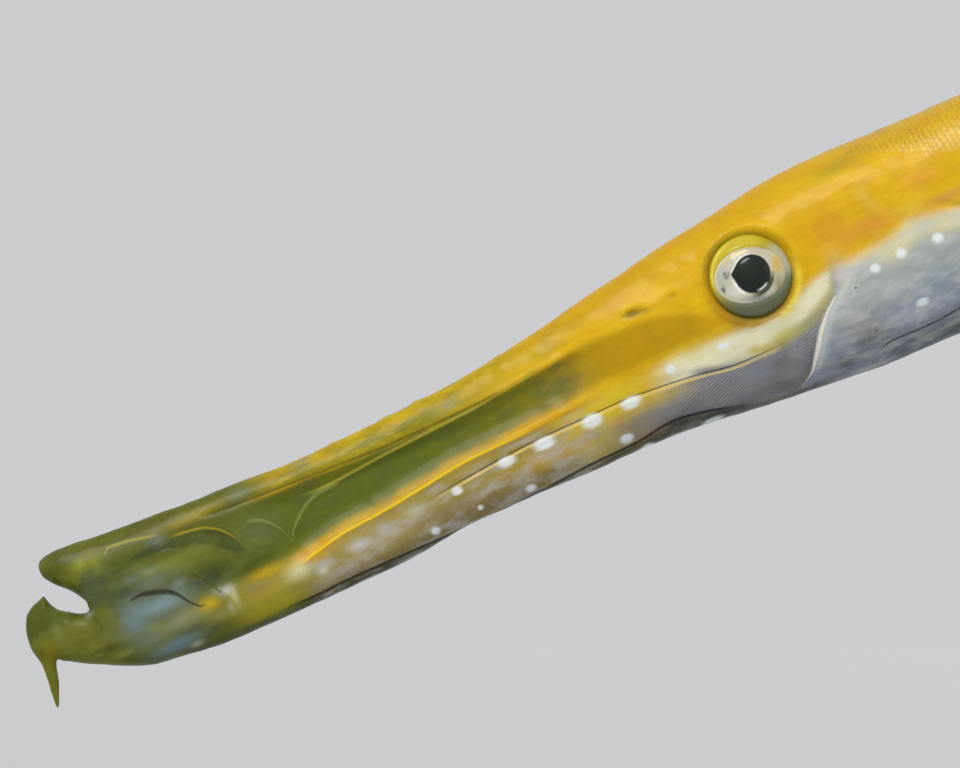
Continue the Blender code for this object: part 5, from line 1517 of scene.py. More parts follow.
def paint_eye(u, v):
    """The eye's colours at u tailward and v upward of its middle, in millimetres and held level, with a
    painted glint and a painted shadow at the pupil's lower right.
    """
    r, pupil, iris = np.hypot(u, v), pupil_edge(u, v), iris_edge(u, v)
    colours = np.empty((*r.shape, 3))
    colours[:] = IRIS_SILVER
    grain = np.sin(u * 4.1 + 2 * np.sin(v * 2.7)) * np.sin(v * 3.3 + 2 * np.sin(u * 2.9))
    lay(colours, IRIS_PINK, 0.35 * rise(grain, 0.0, 0.8) + 0.7 * patch(u, v, (0.6, 3.7), (3.4, 0.6)))
    lay(colours, (0.42, 0.40, 0.26), 0.5 * rise(-grain, 0.1, 0.9))
    lay(colours, (0.30, 0.25, 0.22), patch(u, v, (2.0, 4.2), (1.5, 0.22)) * 0.7)
    lay(colours, (0.68, 0.52, 0.12), near(iris - 0.86, 0.05) * toward(u, v, 128, 42) * 0.8)
    lay(colours, (0.76, 0.72, 0.60), patch(u, v, (-2.0, -3.2), (2.2, 1.2)) * 0.9)
    lay(colours, (0.42, 0.50, 0.42), patch(u, v, (-4.9, -0.6), (1.0, 1.6)) * 0.7)
    lay(colours, IRIS_GOLD, patch(u, v, (4.3, 1.6), (0.9, 1.9)) * 0.95)
    lay(colours, (0.30, 0.29, 0.10), patch(u, v, (4.6, -1.8), (0.7, 1.7)) * 0.8)
    lay(colours, (0.24, 0.26, 0.22), patch(u, v, (1.4, -4.4), (2.4, 0.6)) * 0.8)
    # Dark freckles of the iris, its own pigment.
    for spot_u, spot_v in ((-4.3, -0.2), (-3.5, -0.3), (-4.4, -3.0), (-4.0, -0.8), (-4.6, -2.6)):
        lay(colours, EYE_FRECKLE_AND_SHADOW, patch(u, v, (spot_u, spot_v), (0.28, 0.32)) * 0.85)
    ring = rise(iris, 0.97, 1.02)
    lay(colours, RING_OLIVE, ring)
    lay(colours, RING_YELLOW, ring * toward(u, v, 140, 115))
    lay(colours, RING_GREY, ring * toward(u, v, -55, 110) * 0.9)
    lay(colours, (0.56, 0.57, 0.44), ring * toward(u, v, 28, 38) * 0.6)
    lay(colours, (0.84, 0.68, 0.06), near(r - 6.4, 0.25) * toward(u, v, 165, 45) * 0.9)
    lay(colours, (0.80, 0.76, 0.60), near(iris - 0.965, 0.022) * toward(u, v, 205, 110) * 0.85)
    lay(colours, (0.10, 0.11, 0.07), near(iris - 1.03, 0.02) * toward(u, v, -80, 70) * 0.7)
    lay(colours, (0.12, 0.115, 0.02), rise(r, 6.65, 7.05) * 0.7)
    # Painted shadow: a dark band just outside the pupil's lower right edge.
    lay(colours, EYE_FRECKLE_AND_SHADOW, (1 - rise(pupil, 1.18, 1.26)) * toward(u - 0.3, v + 0.3, -42, 60) * 0.95)
    lay(colours, EYE_WHITE, near(pupil - 1.055, 0.035) * toward(u - 0.3, v + 0.3, 140, 60) * 0.95)
    lay(colours, EYE_WHITE, (1 - rise(pupil, 1.06, 1.24)) * toward(u - 0.3, v + 0.3, 224, 34))
    lay(colours, PUPIL_BLACK, 1 - rise(pupil, 0.97, 1.03))
    lay(colours, (0.02, 0.045, 0.025), patch(u, v, (0.1, 0.3), (1.7, 1.7)) * 0.25)
    # Painted highlight: a white glint on the pupil's lower right edge.
    lay(colours, EYE_WHITE, near(pupil - 0.93, 0.045) * toward(u - 0.3, v + 0.3, -52, 26))
    return colours


def eye_height(u, v):
    """How far the eye stands above its rim's plane, in millimetres."""
    r, pupil, iris = np.hypot(u, v), pupil_edge(u, v), iris_edge(u, v)
    dome = (EYE_DEPTH - 0.35) * np.sqrt(np.maximum(1 - (r / EYE_RADIUS) ** 2, 0)) ** 1.1
    dome += 0.25 * (1 - rise(pupil, 0.80, 1.02)) * (1 - 0.5 * pupil**2)
    dome -= 0.05 * near(pupil - 1.05, 0.05) + 0.12 * near(iris - 1.0, 0.04)
    return dome + 0.10 * near(iris - 1.12, 0.07)


EYE_RINGS, EYE_POINTS = 58, 112


def make_eye(side, name):
    """A closed dome with a sunken flat back, its points level with the ground for the colours."""
    along, up, out = facing_axes(side)
    r = EYE_RADIUS * np.linspace(0, 1, EYE_RINGS + 1)[1:, None]
    turn = np.linspace(0, 2 * math.pi, EYE_POINTS, endpoint=False)[None, :]
    a, b = r * np.cos(turn), r * np.sin(turn)
    pitch = math.asin(float(along[2]))
    u, v = a * math.cos(pitch) - b * math.sin(pitch), a * math.sin(pitch) + b * math.cos(pitch)
    middle = place(EYE_CENTRE[0], side * EYE_OUT, EYE_CENTRE[1])
    flat = middle + (a[..., None] * along + b[..., None] * up) * MM
    front = flat + out * (eye_height(u, v) * MM)[..., None]
    back = flat[[-1, EYE_RINGS // 2]] - out * np.array([0.6, 1.2])[:, None, None] * MM
    rings = np.concatenate([front, back])
    eye = closed_loft(name, rings)
    points = mesh_points(eye.data) - middle
    a, b = points @ along / MM, points @ up / MM
    u, v = a * math.cos(pitch) - b * math.sin(pitch), a * math.sin(pitch) + b * math.cos(pitch)
    store(eye.data, "paint", "FLOAT_COLOR", with_alpha(paint_eye(u, v)))
    store(eye.data, "level", "FLOAT_VECTOR", np.stack([u, v, 0 * u], axis=-1))
    eye.data.shade_smooth()
    return eye


# %% Material of the eye
def make_eye_material():
    """Painted iris with fine rays and freckles, under a clear glossy coat."""
    material, wires, shader = new_material("eye")
    level = wires.attribute("level")
    freckles = wires.group(SPECKS, Place=level, Spacing=0.9, Size=0.07, Share=0.16)["Mask"]
    streaks = wires.node("ShaderNodeTexNoise", {"Vector": level, "Scale": 3.5, "Detail": 3.0}).outputs[0]
    shade = wires.math("MULTIPLY_ADD", streaks, 0.6, 0.70)
    colour = wires.node("ShaderNodeVectorMath", {0: wires.attribute("paint", "Color")}, operation="SCALE")
    wires.feed(colour.inputs["Scale"], shade)
    colour = wires.blend(wires.math("MULTIPLY", freckles, 0.75), colour.outputs[0], (0.02, 0.02, 0.012, 1))
    wires.feed(shader.inputs["Base Color"], colour)
    set_constants(
        shader, Roughness=0.35, Specular_IOR_Level=0.1, Coat_IOR=1.36, Coat_Weight=0.7, Coat_Roughness=0.03
    )
    return material


EYE_FINISH = make_eye_material()
for eye_side, side_name in ((LEFT, "left"), (RIGHT, "right")):
    eye = make_eye(eye_side, f"eyeball_{side_name}")
    eye.data.materials.append(EYE_FINISH)
    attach(eye, "root")
    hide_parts(f"eye_{side_name}")
    print(eye.name, "faces:", len(eye.data.polygons))

# %% [markdown]
# ## Fins
# A fin is a fan of bony rays with a thin skin stretched over them. Each ray forks half way out, and the
# skin is notched between their tips. Modelling each by hand would take days, so every fin here is one
# rule that gives a point for each share along its root and each reach along its rays. The membrane is a
# thin closed sheet over that rule, and the rays are paths on it that Geometry Nodes turns into tubes.

# %% Shape of any fin
MEMBRANE_HALF, MEMBRANE_EDGE_HALF = 0.12, 0.045
RAY_THICK, BRANCH_THICK, TIP_THICK, FORK = 0.34, 0.20, 0.085, 0.48


def fin_point(fin, share, reach):
    """A point of a fin in metres. It bends back a little, ripples across and is notched between rays."""
    root, tip = fin["root_at"](share), fin["tip_at"](share)
    between = 0.5 - 0.5 * np.cos(2 * math.pi * share * (fin["rays"] - 1))
    length = np.linalg.norm(tip - root, axis=-1)
    wave = np.sin(share * 9.0 + reach * 3.1 + fin["phase"])
    wave = wave * np.clip(reach, 0, 1) ** 1.5 * fin["ripple"] * length
    bow = reach * (1 - reach) * fin["bow"] * length
    run = reach * (1 - 0.03 * between * reach**6)
    moved = root + (tip - root) * run[..., None] + fin["across"] * wave[..., None]
    return moved + fin["back"] * bow[..., None]


def closed_sheet(name, middle, offset):
    """A closed sheet round a grid of middle points, with its two faces at plus and minus the offset."""
    rows, columns = middle.shape[:2]
    verts = np.concatenate([(middle + offset).reshape(-1, 3), (middle - offset).reshape(-1, 3)])
    index = np.arange(rows * columns).reshape(rows, columns)
    far = index + rows * columns

    def quads(a, b, c, d):
        return np.stack([a.ravel(), b.ravel(), c.ravel(), d.ravel()], axis=-1).tolist()

    faces = quads(index[:-1, :-1], index[:-1, 1:], index[1:, 1:], index[1:, :-1])
    faces += quads(far[:-1, :-1], far[1:, :-1], far[1:, 1:], far[:-1, 1:])
    edges = [(index[0], far[0]), (index[:, -1], far[:, -1])]
    edges += [(index[-1, ::-1], far[-1, ::-1]), (index[::-1, 0], far[::-1, 0])]
    for near_edge, far_edge in edges:
        faces += quads(near_edge[1:], near_edge[:-1], far_edge[:-1], far_edge[1:])
    mesh = bpy.data.meshes.new(name)
    mesh.from_pydata(verts.tolist(), [], faces)
    sheet = bpy.data.objects.new(name, mesh)
    bpy.context.scene.collection.objects.link(sheet)
    return sheet


def make_membrane(name, fin):
    columns, rows = (fin["rays"] - 1) * 8 + 1, 30
    share = np.linspace(0, 1, columns)[None, :]
    reach = np.linspace(-0.05, 0.985, rows)[:, None]
    share, reach = np.broadcast_arrays(share, reach)
    half = MEMBRANE_HALF + (MEMBRANE_EDGE_HALF - MEMBRANE_HALF) * np.clip(reach, 0, 1) ** 0.5
    middle = fin_point(fin, share, reach)
    membrane = closed_sheet(name, middle, fin["across"] * half[..., None] * MM)
    face_outward(membrane)
    colours = fin["paint"](share, np.clip(reach, 0, 1), False).reshape(-1, 3)
    store(membrane.data, "paint", "FLOAT_COLOR", with_alpha(np.concatenate([colours, colours])))
    membrane.data.shade_smooth()
    return membrane


def ray_paths(fin):
    """(share, reach, thickness) along every ray: a stem, then two branches that part from it."""
    paths = []
    spacing = 1 / (fin["rays"] - 1)
    for k in range(fin["rays"]):
        share = k * spacing
        stem = np.linspace(-0.07, FORK, 12)
        thick = RAY_THICK + (BRANCH_THICK - RAY_THICK) * np.clip(stem, 0, 1) / FORK
        paths.append((np.full(12, share), stem, thick * fin["stout"]))
        for side in (-1, 1):
            reach = np.linspace(FORK - 0.03, 1.0, 14)
            part = np.clip((reach - FORK) / (1 - FORK), 0, 1)
            branch = np.clip(share + side * 0.21 * spacing * part**0.8, 0, 1)
            thick = BRANCH_THICK + (TIP_THICK - BRANCH_THICK) * part
            paths.append((branch, reach, thick * fin["stout"]))
    return paths


print("fin rules are ready")

# %% Geometry Nodes tree that turns paths into tubes
def make_tube_tree():
    """Makes a round tube of the stored thickness along every path of edges."""
    tree = bpy.data.node_groups.new("Grow tubes", "GeometryNodeTree")
    tree.interface.new_socket("Paths", in_out="INPUT", socket_type="NodeSocketGeometry")
    for title, start in (("Thickness", 1.0), ("Sides", 8)):
        kind = "NodeSocketFloat" if title == "Thickness" else "NodeSocketInt"
        tree.interface.new_socket(title, in_out="INPUT", socket_type=kind).default_value = start
    tree.interface.new_socket("Finish", in_out="INPUT", socket_type="NodeSocketMaterial")
    tree.interface.new_socket("Tubes", in_out="OUTPUT", socket_type="NodeSocketGeometry")
    wires = Wires(tree)
    given = wires.node("NodeGroupInput").outputs
    curves = wires.node("GeometryNodeMeshToCurve", {"Mesh": given["Paths"]})
    thick = wires.node(
        "GeometryNodeInputNamedAttribute", {"Name": "thick"}, data_type="FLOAT"
    ).outputs["Attribute"]
    radius = wires.math("MULTIPLY", thick, given["Thickness"])
    sized = wires.node("GeometryNodeSetCurveRadius", {"Curve": curves.outputs[0], "Radius": radius})
    ring = wires.node("GeometryNodeCurvePrimitiveCircle", {"Resolution": given["Sides"], "Radius": 1.0})
    tube = wires.node(
        "GeometryNodeCurveToMesh",
        {"Curve": sized.outputs[0], "Profile Curve": ring.outputs[0], "Fill Caps": True},
    )
    if "Scale" in tube.inputs:
        wires.feed(tube.inputs["Scale"], radius)
    real = wires.node("GeometryNodeRealizeInstances", {"Geometry": tube.outputs[0]})
    finished = wires.node(
        "GeometryNodeSetMaterial", {"Geometry": real.outputs[0], "Material": given["Finish"]}
    )
    result = wires.node("NodeGroupOutput")
    wires.feed(result.inputs["Tubes"], finished.outputs[0])
    return tree


TUBE_TREE = make_tube_tree()


def grow_tubes(name, paths, colours, finish):
    """One mesh of tubes along paths of (points in metres, thickness in mm), coloured point by point."""
    points = np.concatenate([path for path, _ in paths])
    ends = np.cumsum([len(path) for path, _ in paths])
    edges = [(k, k + 1) for k in range(len(points) - 1) if k + 1 not in set(ends.tolist())]
    source = bpy.data.meshes.new(f"{name}_paths")
    source.from_pydata(points.tolist(), edges, [])
    store(source, "thick", "FLOAT", np.concatenate([thick for _, thick in paths]) * MM)
    store(source, "paint", "FLOAT_COLOR", with_alpha(colours))
    run = [np.cumsum(np.linalg.norm(np.diff(path, axis=0, prepend=path[:1]), axis=1)) for path, _ in paths]
    store(source, "along", "FLOAT", np.concatenate(run) / MM)
    tubes = grown(name, source, TUBE_TREE, Thickness=1.0, Sides=8, Finish=finish)
    face_outward(tubes)
    tubes.data.shade_smooth()
    return tubes


print("tube tree:", len(TUBE_TREE.nodes), "nodes")

# %% [markdown]
# ## Where the fins stand
# Behind the photograph's edge, a trumpetfish has ten short lone spines along its back, then a soft dorsal
# fin with an anal fin as its mirror below, far back on the body, a small fan for a tail, and small paired
# fins. They take their numbers from the fish's kind. The yellow form keeps the dark bar at the dorsal and
# anal fins' roots, the dark pelvic roots and the black spots on the tail, so they are painted here too.

# %% Fins' colours
FIN_YELLOW, FIN_CLEAR, RAY_YELLOW = (0.74, 0.52, 0.03), (0.70, 0.60, 0.22), (0.78, 0.47, 0.01)


def plain_fin(share, reach, is_ray):
    """Yellow rays in a paler skin that clears towards its edge."""
    colours = np.empty((*share.shape, 3))
    colours[:] = RAY_YELLOW if is_ray else FIN_YELLOW
    lay(colours, FIN_CLEAR, rise(reach, 0.2, 1.0) * (0.35 if is_ray else 0.8))
    return colours


def barred_fin(share, reach, is_ray):
    """A dark bar across the front rays, near the root."""
    colours = plain_fin(share, reach, is_ray)
    bar = span(reach, -1.0, 0.20, 0.16) * span(share, 0.06, 0.72, 0.10)
    lay(colours, INK, bar * 0.9)
    return colours


def spotted_tail(share, reach, is_ray):
    """A round black spot in the upper half of the tail fin and a smaller one below."""
    colours = plain_fin(share, reach, is_ray)
    for spot_share, spot_reach, size in ((0.76, 0.52, 0.13), (0.22, 0.42, 0.08)):
        away = np.hypot((share - spot_share) * 0.85, (reach - spot_reach) * 0.95)
        lay(colours, INK, (1 - rise(away, size * 0.8, size * 1.25)) * 0.95)
    return colours


def dark_rooted_fin(share, reach, is_ray):
    colours = plain_fin(share, reach, is_ray)
    lay(colours, INK, (1 - rise(reach, 0.12, 0.34)) * 0.85)
    return colours


# %% Roots and tips of the fins
MEDIAN_LENGTH = [(0, 13), (8, 27), (18, 33), (35, 29), (65, 19), (100, 12)]
MEDIAN_LEAN = (math.radians(38), math.radians(58))
MEDIAN_RAYS, DORSAL_BASE, ANAL_BASE = 20, (450, 520), (447, 520)  # the bases run from s to s
STALK_END, TAIL_RAYS, TAIL_LENGTH = 560.0, 13, 44
TAIL_SPREAD, TAIL_ROOT_HALF = math.radians(34), 5.4


def median_fin(start, end, line, up, rays, phase):
    """The soft dorsal fin (up is 1) or the anal fin (up is -1)."""

    def root_at(share):
        s = start + (end - start) * share
        return place(s, 0, smooth(line, s))

    def tip_at(share):
        s = start + (end - start) * share
        lean = MEDIAN_LEAN[0] + (MEDIAN_LEAN[1] - MEDIAN_LEAN[0]) * share
        reach = smooth(MEDIAN_LENGTH, share * 100)[..., None] * MM
        return root_at(share) + direction(s, np.sin(lean), 0, up * np.cos(lean)) * reach

    return {
        "rays": rays, "root_at": root_at, "tip_at": tip_at, "across": np.array([0.0, 1.0, 0.0]),
        "back": direction(
            np.array((start + end) / 2), 0, 0, up
        ), "bow": 0.10, "ripple": 0.035, "phase": phase,
        "stout": 1.0, "paint": barred_fin,
    }


def tail_fan():
    """The small rounded tail fin."""
    s = np.array(STALK_END)
    middle = float(smooth(BACK_LINE, s) + smooth(BELLY_LINE, s)) / 2

    def root_at(share):
        swing = 2 * share - 1
        root_s = TAIL_ROUND - 0.5 + ROUND_LENGTH * np.sqrt(1 - (0.84 * swing) ** 2)
        return place(root_s, 0, middle + TAIL_ROOT_HALF * swing)

    def tip_at(share):
        swing = 2 * share - 1
        angle = TAIL_SPREAD * swing
        length = TAIL_LENGTH * (1 - 0.26 * np.abs(swing) ** 1.5)
        return root_at(share) + direction(s, np.cos(angle), 0, np.sin(angle)) * length[..., None] * MM

    return {
        "rays": TAIL_RAYS, "root_at": root_at, "tip_at": tip_at, "across": np.array([0.0, 1.0, 0.0]),
        "back": np.zeros(3), "bow": 0.0, "ripple": 0.045, "phase": 0.6, "stout": 1.15, "paint": spotted_tail,
    }


def flank_width(s, h):
    """The body's half width at the height h."""
    widest, power = smooth(WIDEST_LINE, s), smooth(SQUARENESS, s)
    end = np.where(h > widest, smooth(BACK_LINE, s), smooth(BELLY_LINE, s))
    share = np.clip(np.abs((h - widest) / (end - widest)), 0, 1)
    return smooth(HALF_WIDTH, s) * (1 - share**power) ** (1 / power)


def on_skin(s, h, side, out):
    """The point that stands out from the body by that many millimetres, along its normal."""
    along = flank_width(s + 0.5, h) - flank_width(s - 0.5, h)
    upward = flank_width(s, h + 0.5) - flank_width(s, h - 0.5)
    return place(s, side * flank_width(s, h), h) + direction(s, -along, side, -upward) * out * MM


def paired_fin(side, s0, h0, root, length, rays, spread, out_angle, lift, tilt, colours):
    """A pectoral or pelvic fin: a fan that stands out from the side and trails backwards."""
    at = np.array(float(s0))
    trail = direction(at, math.cos(out_angle), side * math.sin(out_angle), 0)
    upward = direction(at, math.sin(tilt), 0, math.cos(tilt))
    across = np.cross(trail, upward)
    across /= np.linalg.norm(across)

    def root_at(share):
        offset = root * (share - 0.5)
        return on_skin(s0 + offset * math.sin(tilt), h0 + offset * math.cos(tilt), side, 0.6)

    def tip_at(share):
        angle = (spread * (2 * share - 1) + lift)[..., None]
        reach = (length * (1 - 0.25 * np.abs(2 * share - 1.1) ** 1.6))[..., None] * MM
        return root_at(share) + (trail * np.cos(angle) + upward * np.sin(angle)) * reach

    return {
        "rays": rays, "root_at": root_at, "tip_at": tip_at, "across": across, "back": -across * side,
        "bow": -0.05, "ripple": 0.03, "phase": 0.3 * rays, "stout": 0.8, "paint": colours,
    }


def turned(*degrees):
    return [math.radians(angle) for angle in degrees]


# Place (s, h), root, length, rays, then the spread, how far it stands out, its lift and its tilt.
PECTORAL = (181, -4.5, 6.5, 25, 11, *turned(34, 24, 4, -12))
PELVIC = (333, -13.2, 4.5, 24, 6, *turned(17, 16, -14, -70))
FINS = {
    "dorsal_fin": median_fin(*DORSAL_BASE, BACK_LINE, 1, MEDIAN_RAYS, 0.4),
    "anal_fin": median_fin(*ANAL_BASE, BELLY_LINE, -1, MEDIAN_RAYS, 1.9),
    "tail_fin": tail_fan(),
}
for fin_side, side_name in ((LEFT, "left"), (RIGHT, "right")):
    FINS[f"pectoral_fin_{side_name}"] = paired_fin(fin_side, *PECTORAL, plain_fin)
    FINS[f"pelvic_fin_{side_name}"] = paired_fin(fin_side, *PELVIC, dark_rooted_fin)
print("fins:", list(FINS))

# %% Material of the fins
def make_fin_material(name, is_ray):
    """Thin skin that lets light through, or bone with the fine joints that soft rays have."""
    material, wires, shader = new_material(name)
    mottle = wires.node("ShaderNodeTexNoise", {"Vector": wires.node("ShaderNodeTexCoord").outputs["Object"]})
    wires.feed(mottle.inputs["Scale"], 900.0 if is_ray else 420.0)
    shade = wires.math("MULTIPLY_ADD", mottle.outputs[0], 0.5, 0.75)
    colour = wires.node("ShaderNodeVectorMath", {0: wires.attribute("paint", "Color")}, operation="SCALE")
    wires.feed(colour.inputs["Scale"], shade)
    wires.feed(shader.inputs["Base Color"], colour.outputs[0])
    if is_ray:
        joints = wires.math(
            "SINE", wires.math("MULTIPLY", wires.attribute("along", "Fac"), 2 * math.pi / 0.85)
        )
        bump = wires.node(
            "ShaderNodeBump",
            {"Strength": 0.5, "Distance": MM, "Height": wires.math("MULTIPLY", joints, 0.03)}
        )
    else:
        bump = wires.node("ShaderNodeBump", {"Strength": 0.5, "Distance": MM})
        wires.feed(bump.inputs["Height"], wires.math("MULTIPLY", mottle.outputs[0], 0.06))
    wires.feed(shader.inputs["Normal"], bump.outputs[0])
    set_constants(
        shader, Roughness=0.35, IOR=1.36, Subsurface_Weight=0.15 if is_ray else 0.4,
        Subsurface_Radius=(1.0, 0.7, 0.25), Subsurface_Scale=1.0 * MM
    )
    return material


MEMBRANE_FINISH, RAY_FINISH = make_fin_material("fin_skin", False), make_fin_material("fin_rays", True)

# %% Make the fins
def make_fin(name, fin):
    membrane = make_membrane(f"{name}_skin", fin)
    membrane.data.materials.append(MEMBRANE_FINISH)
    paths, colours = [], []
    for share, reach, thick in ray_paths(fin):
        paths.append((fin_point(fin, share, reach), thick))
        colours.append(fin["paint"](share, np.clip(reach, 0, 1), True))
    rays = grow_tubes(f"{name}_rays", paths, np.concatenate(colours), RAY_FINISH)
    for piece in (membrane, rays):
        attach(piece, "root")
        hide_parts(name)
    print(name, "faces:", len(membrane.data.polygons), "and", len(rays.data.polygons))


for fin_name, rules in FINS.items():
    make_fin(fin_name, rules)

# %% [markdown]
# ## Lone spines of the back
# The ten spines in front of the soft dorsal fin stand apart from each other, each leaning back with a
# small three-cornered sail behind it. They are short bony spikes, so each is a tapered tube that runs
# down into the back, with its sail a thin closed sheet like the fins'.

# %% Spines
SPINE_COUNT, SPINE_FIRST, SPINE_SPACING, SPINE_HEIGHT = 10, 256.0, 18.4, 14.0
SPINE_LEAN, SPINE_RADIUS, SPINE_SAIL = math.radians(48), 0.62, 9.0


def spine_place(s, up, behind):
    """A point at a height above the back and a distance behind the spine's leaning shaft."""
    shaft = s + up * math.tan(SPINE_LEAN) + behind
    return place(shaft, 0, smooth(BACK_LINE, s) + up)


shafts, shaft_colours = [], []
for number in range(SPINE_COUNT):
    spine_s = SPINE_FIRST + SPINE_SPACING * number
    off_middle = SPINE_FIRST + SPINE_SPACING * (SPINE_COUNT - 1) / 2 - spine_s
    off_middle = off_middle / (SPINE_SPACING * SPINE_COUNT)
    height = SPINE_HEIGHT * (1 - 0.5 * off_middle**2)
    up = np.linspace(-2.0, height, 18)
    shafts.append((spine_place(spine_s, up, 0.0 * up), SPINE_RADIUS * (1 - 0.8 * rise(up, 0, height * 1.15))))
    shade = np.empty((18, 3))
    shade[:] = RAY_YELLOW
    lay(shade, (0.82, 0.74, 0.42), rise(up, height * 0.5, height))
    shaft_colours.append(shade)
    rows, columns = np.linspace(-1.2, height * 0.97, 24)[:, None], np.linspace(0, 1, 14)[None, :]
    reach = SPINE_SAIL * (1 - np.clip(rows, 0, None) / height) ** 0.85 * columns
    slack = 0.35 * np.sin(columns * 7 + rows * 0.5 + number) * columns
    middle = spine_place(spine_s, rows - 0.18 * reach, reach)
    middle = middle + np.array([0.0, 1.0, 0.0]) * slack[..., None] * MM
    half = (MEMBRANE_HALF + 0.05) * (1 - 0.6 * columns) + 0 * rows
    sail = closed_sheet(f"spine_sail_{number + 1}", middle, np.array([0.0, 1.0, 0.0]) * half[..., None] * MM)
    face_outward(sail)
    whole = plain_fin(columns + 0 * rows, columns + 0 * rows, False).reshape(-1, 3)
    store(sail.data, "paint", "FLOAT_COLOR", with_alpha(np.concatenate([whole, whole])))
    sail.data.materials.append(MEMBRANE_FINISH)
    sail.data.shade_smooth()
    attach(sail, "root")
spines = grow_tubes("spine_shafts", shafts, np.concatenate(shaft_colours), RAY_FINISH)
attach(spines, "root")
print("spines:", SPINE_COUNT, "faces:", len(spines.data.polygons))

# %% [markdown]
# ## The stand
# A museum mounts such a model on two thin steel rods that rise from a plain wooden base. The base is a
# slab with rounded corners, made as a loft so that its edges are softly broken, as sanded wood is. Its
# grain is the tree's growth rings: each place in the slab is shaded by how far it lies from a pith line
# below the slab, with a little noise, so the top and the end grain agree. The rods are brushed steel.

# %% Base and rods
BASE_SIZE, BASE_CORNER, BASE_BEVEL = (224.0, 108.0, 12.0), 26.0, 2.0
RODS, ROD_RADIUS = {"stand_rod_front": 217.0, "stand_rod_rear": 385.0}, 3.0


def slab_ring(inset, z, count=96):
    """A ring of the base's outline, drawn in by the inset and at the height z."""
    half_length, half_width = BASE_SIZE[0] / 2 - inset, BASE_SIZE[1] / 2 - inset
    corner = BASE_CORNER - inset
    turn = (np.arange(count) + 0.5) / count * 2 * math.pi
    x = np.sign(np.cos(turn)) * (half_length - corner) + np.cos(turn) * corner
    y = np.sign(np.sin(turn)) * (half_width - corner) + np.sin(turn) * corner
    return np.stack([x, y, np.full(count, z)], axis=-1)


def make_base():
    height = BASE_SIZE[2]
    edge = np.linspace(0, math.pi / 2, 8)
    rings = [slab_ring(6, 0), slab_ring(0.7, 0), slab_ring(0.2, 0.2), slab_ring(0, 0.7)]
    for angle in edge:
        rings.append(
            slab_ring(BASE_BEVEL * (1 - math.cos(angle)), height - BASE_BEVEL * (1 - math.sin(angle)))
        )
    rings += [slab_ring(BASE_BEVEL + 0.6, height), slab_ring(8, height)]
    base = closed_loft("base", np.stack(rings) * MM)
    base.data.shade_smooth()
    return base


def make_rod(name, s):
    """A round rod from inside the base to just inside the belly."""
    top = place(s, 0, smooth(BELLY_LINE, s))
    turn = np.linspace(0, 2 * math.pi, 48, endpoint=False)
    circle = np.stack([np.cos(turn), np.sin(turn), 0 * turn], axis=-1) * ROD_RADIUS * MM
    heights = np.linspace((BASE_SIZE[2] - 1) * MM, float(top[2]) + 1.2 * MM, 12)
    rings = circle[None] + np.stack([np.full(12, top[0]), np.zeros(12), heights], axis=-1)[:, None, :]
    rod = closed_loft(name, rings)
    rod.data.shade_smooth()
    return rod


# %% Materials of the stand
def make_wood():
    """Dark oiled wood: growth rings cut along their length, with fine pores."""
    material, wires, shader = new_material("oiled_wood")
    place_in = wires.node("ShaderNodeTexCoord").outputs["Object"]
    x, y, z = wires.split(place_in)
    squeezed = wires.node(
        "ShaderNodeVectorMath", {0: place_in, 1: (5.0, 14.0, 14.0)}, operation="MULTIPLY"
    ).outputs[0]
    sway = wires.node("ShaderNodeTexNoise", {"Vector": squeezed, "Scale": 1.0, "Detail": 2.0}).outputs[0]
    pith = wires.node("ShaderNodeCombineXYZ", {1: wires.math("ADD", y, 0.02), 2: wires.math("ADD", z, 0.045)})
    out = wires.node("ShaderNodeVectorMath", {0: pith.outputs[0]}, operation="LENGTH").outputs["Value"]
    rings = wires.math("FRACT", wires.math("MULTIPLY_ADD", out, 260.0, wires.math("MULTIPLY", sway, 9.0)))
    streaked = wires.node("ShaderNodeCombineXYZ", {0: wires.math("MULTIPLY", x, 60.0)})
    wires.feed(streaked.inputs[1], wires.math("MULTIPLY", y, 2200.0))
    wires.feed(streaked.inputs[2], wires.math("MULTIPLY", z, 2200.0))
    pores = wires.node(
        "ShaderNodeTexNoise", {"Vector": streaked.outputs[0], "Scale": 1.0, "Detail": 2.0}
    ).outputs[0]
    colour = wires.blend(rings, (0.105, 0.052, 0.024, 1), (0.185, 0.098, 0.047, 1))
    dark = wires.node("ShaderNodeMapRange", {"Value": pores, "From Min": 0.35, "From Max": 0.5}).outputs[0]
    colour = wires.blend(dark, (0.055, 0.026, 0.012, 1), colour)
    bump = wires.node("ShaderNodeBump", {"Strength": 0.35, "Distance": MM})
    wires.feed(bump.inputs["Height"], wires.math("MULTIPLY", dark, 0.08))
    wires.feed(shader.inputs["Base Color"], colour)
    wires.feed(shader.inputs["Roughness"], wires.math("MULTIPLY_ADD", rings, -0.08, 0.46))
    wires.feed(shader.inputs["Normal"], bump.outputs[0])
    shader.inputs["Coat Weight"].default_value = 0.15
    return material


def make_steel():
    """Brushed steel: fine scratches that run round the rod."""
    material, wires, shader = new_material("brushed_steel")
    x, y, z = wires.split(wires.node("ShaderNodeTexCoord").outputs["Object"])
    scratched = wires.node("ShaderNodeCombineXYZ", {0: wires.math("MULTIPLY", x, 90.0)})
    wires.feed(scratched.inputs[1], wires.math("MULTIPLY", y, 90.0))
    wires.feed(scratched.inputs[2], wires.math("MULTIPLY", z, 9000.0))
    scratches = wires.node("ShaderNodeTexNoise", {"Vector": scratched.outputs[0], "Scale": 1.0}).outputs[0]
    bump = wires.node("ShaderNodeBump", {"Strength": 0.25, "Distance": MM})
    wires.feed(bump.inputs["Height"], wires.math("MULTIPLY", scratches, 0.02))
    wires.feed(shader.inputs["Roughness"], wires.math("MULTIPLY_ADD", scratches, 0.2, 0.22))
    wires.feed(shader.inputs["Normal"], bump.outputs[0])
    set_constants(shader, Base_Color=(0.56, 0.56, 0.57, 1), Metallic=1.0)
    return material


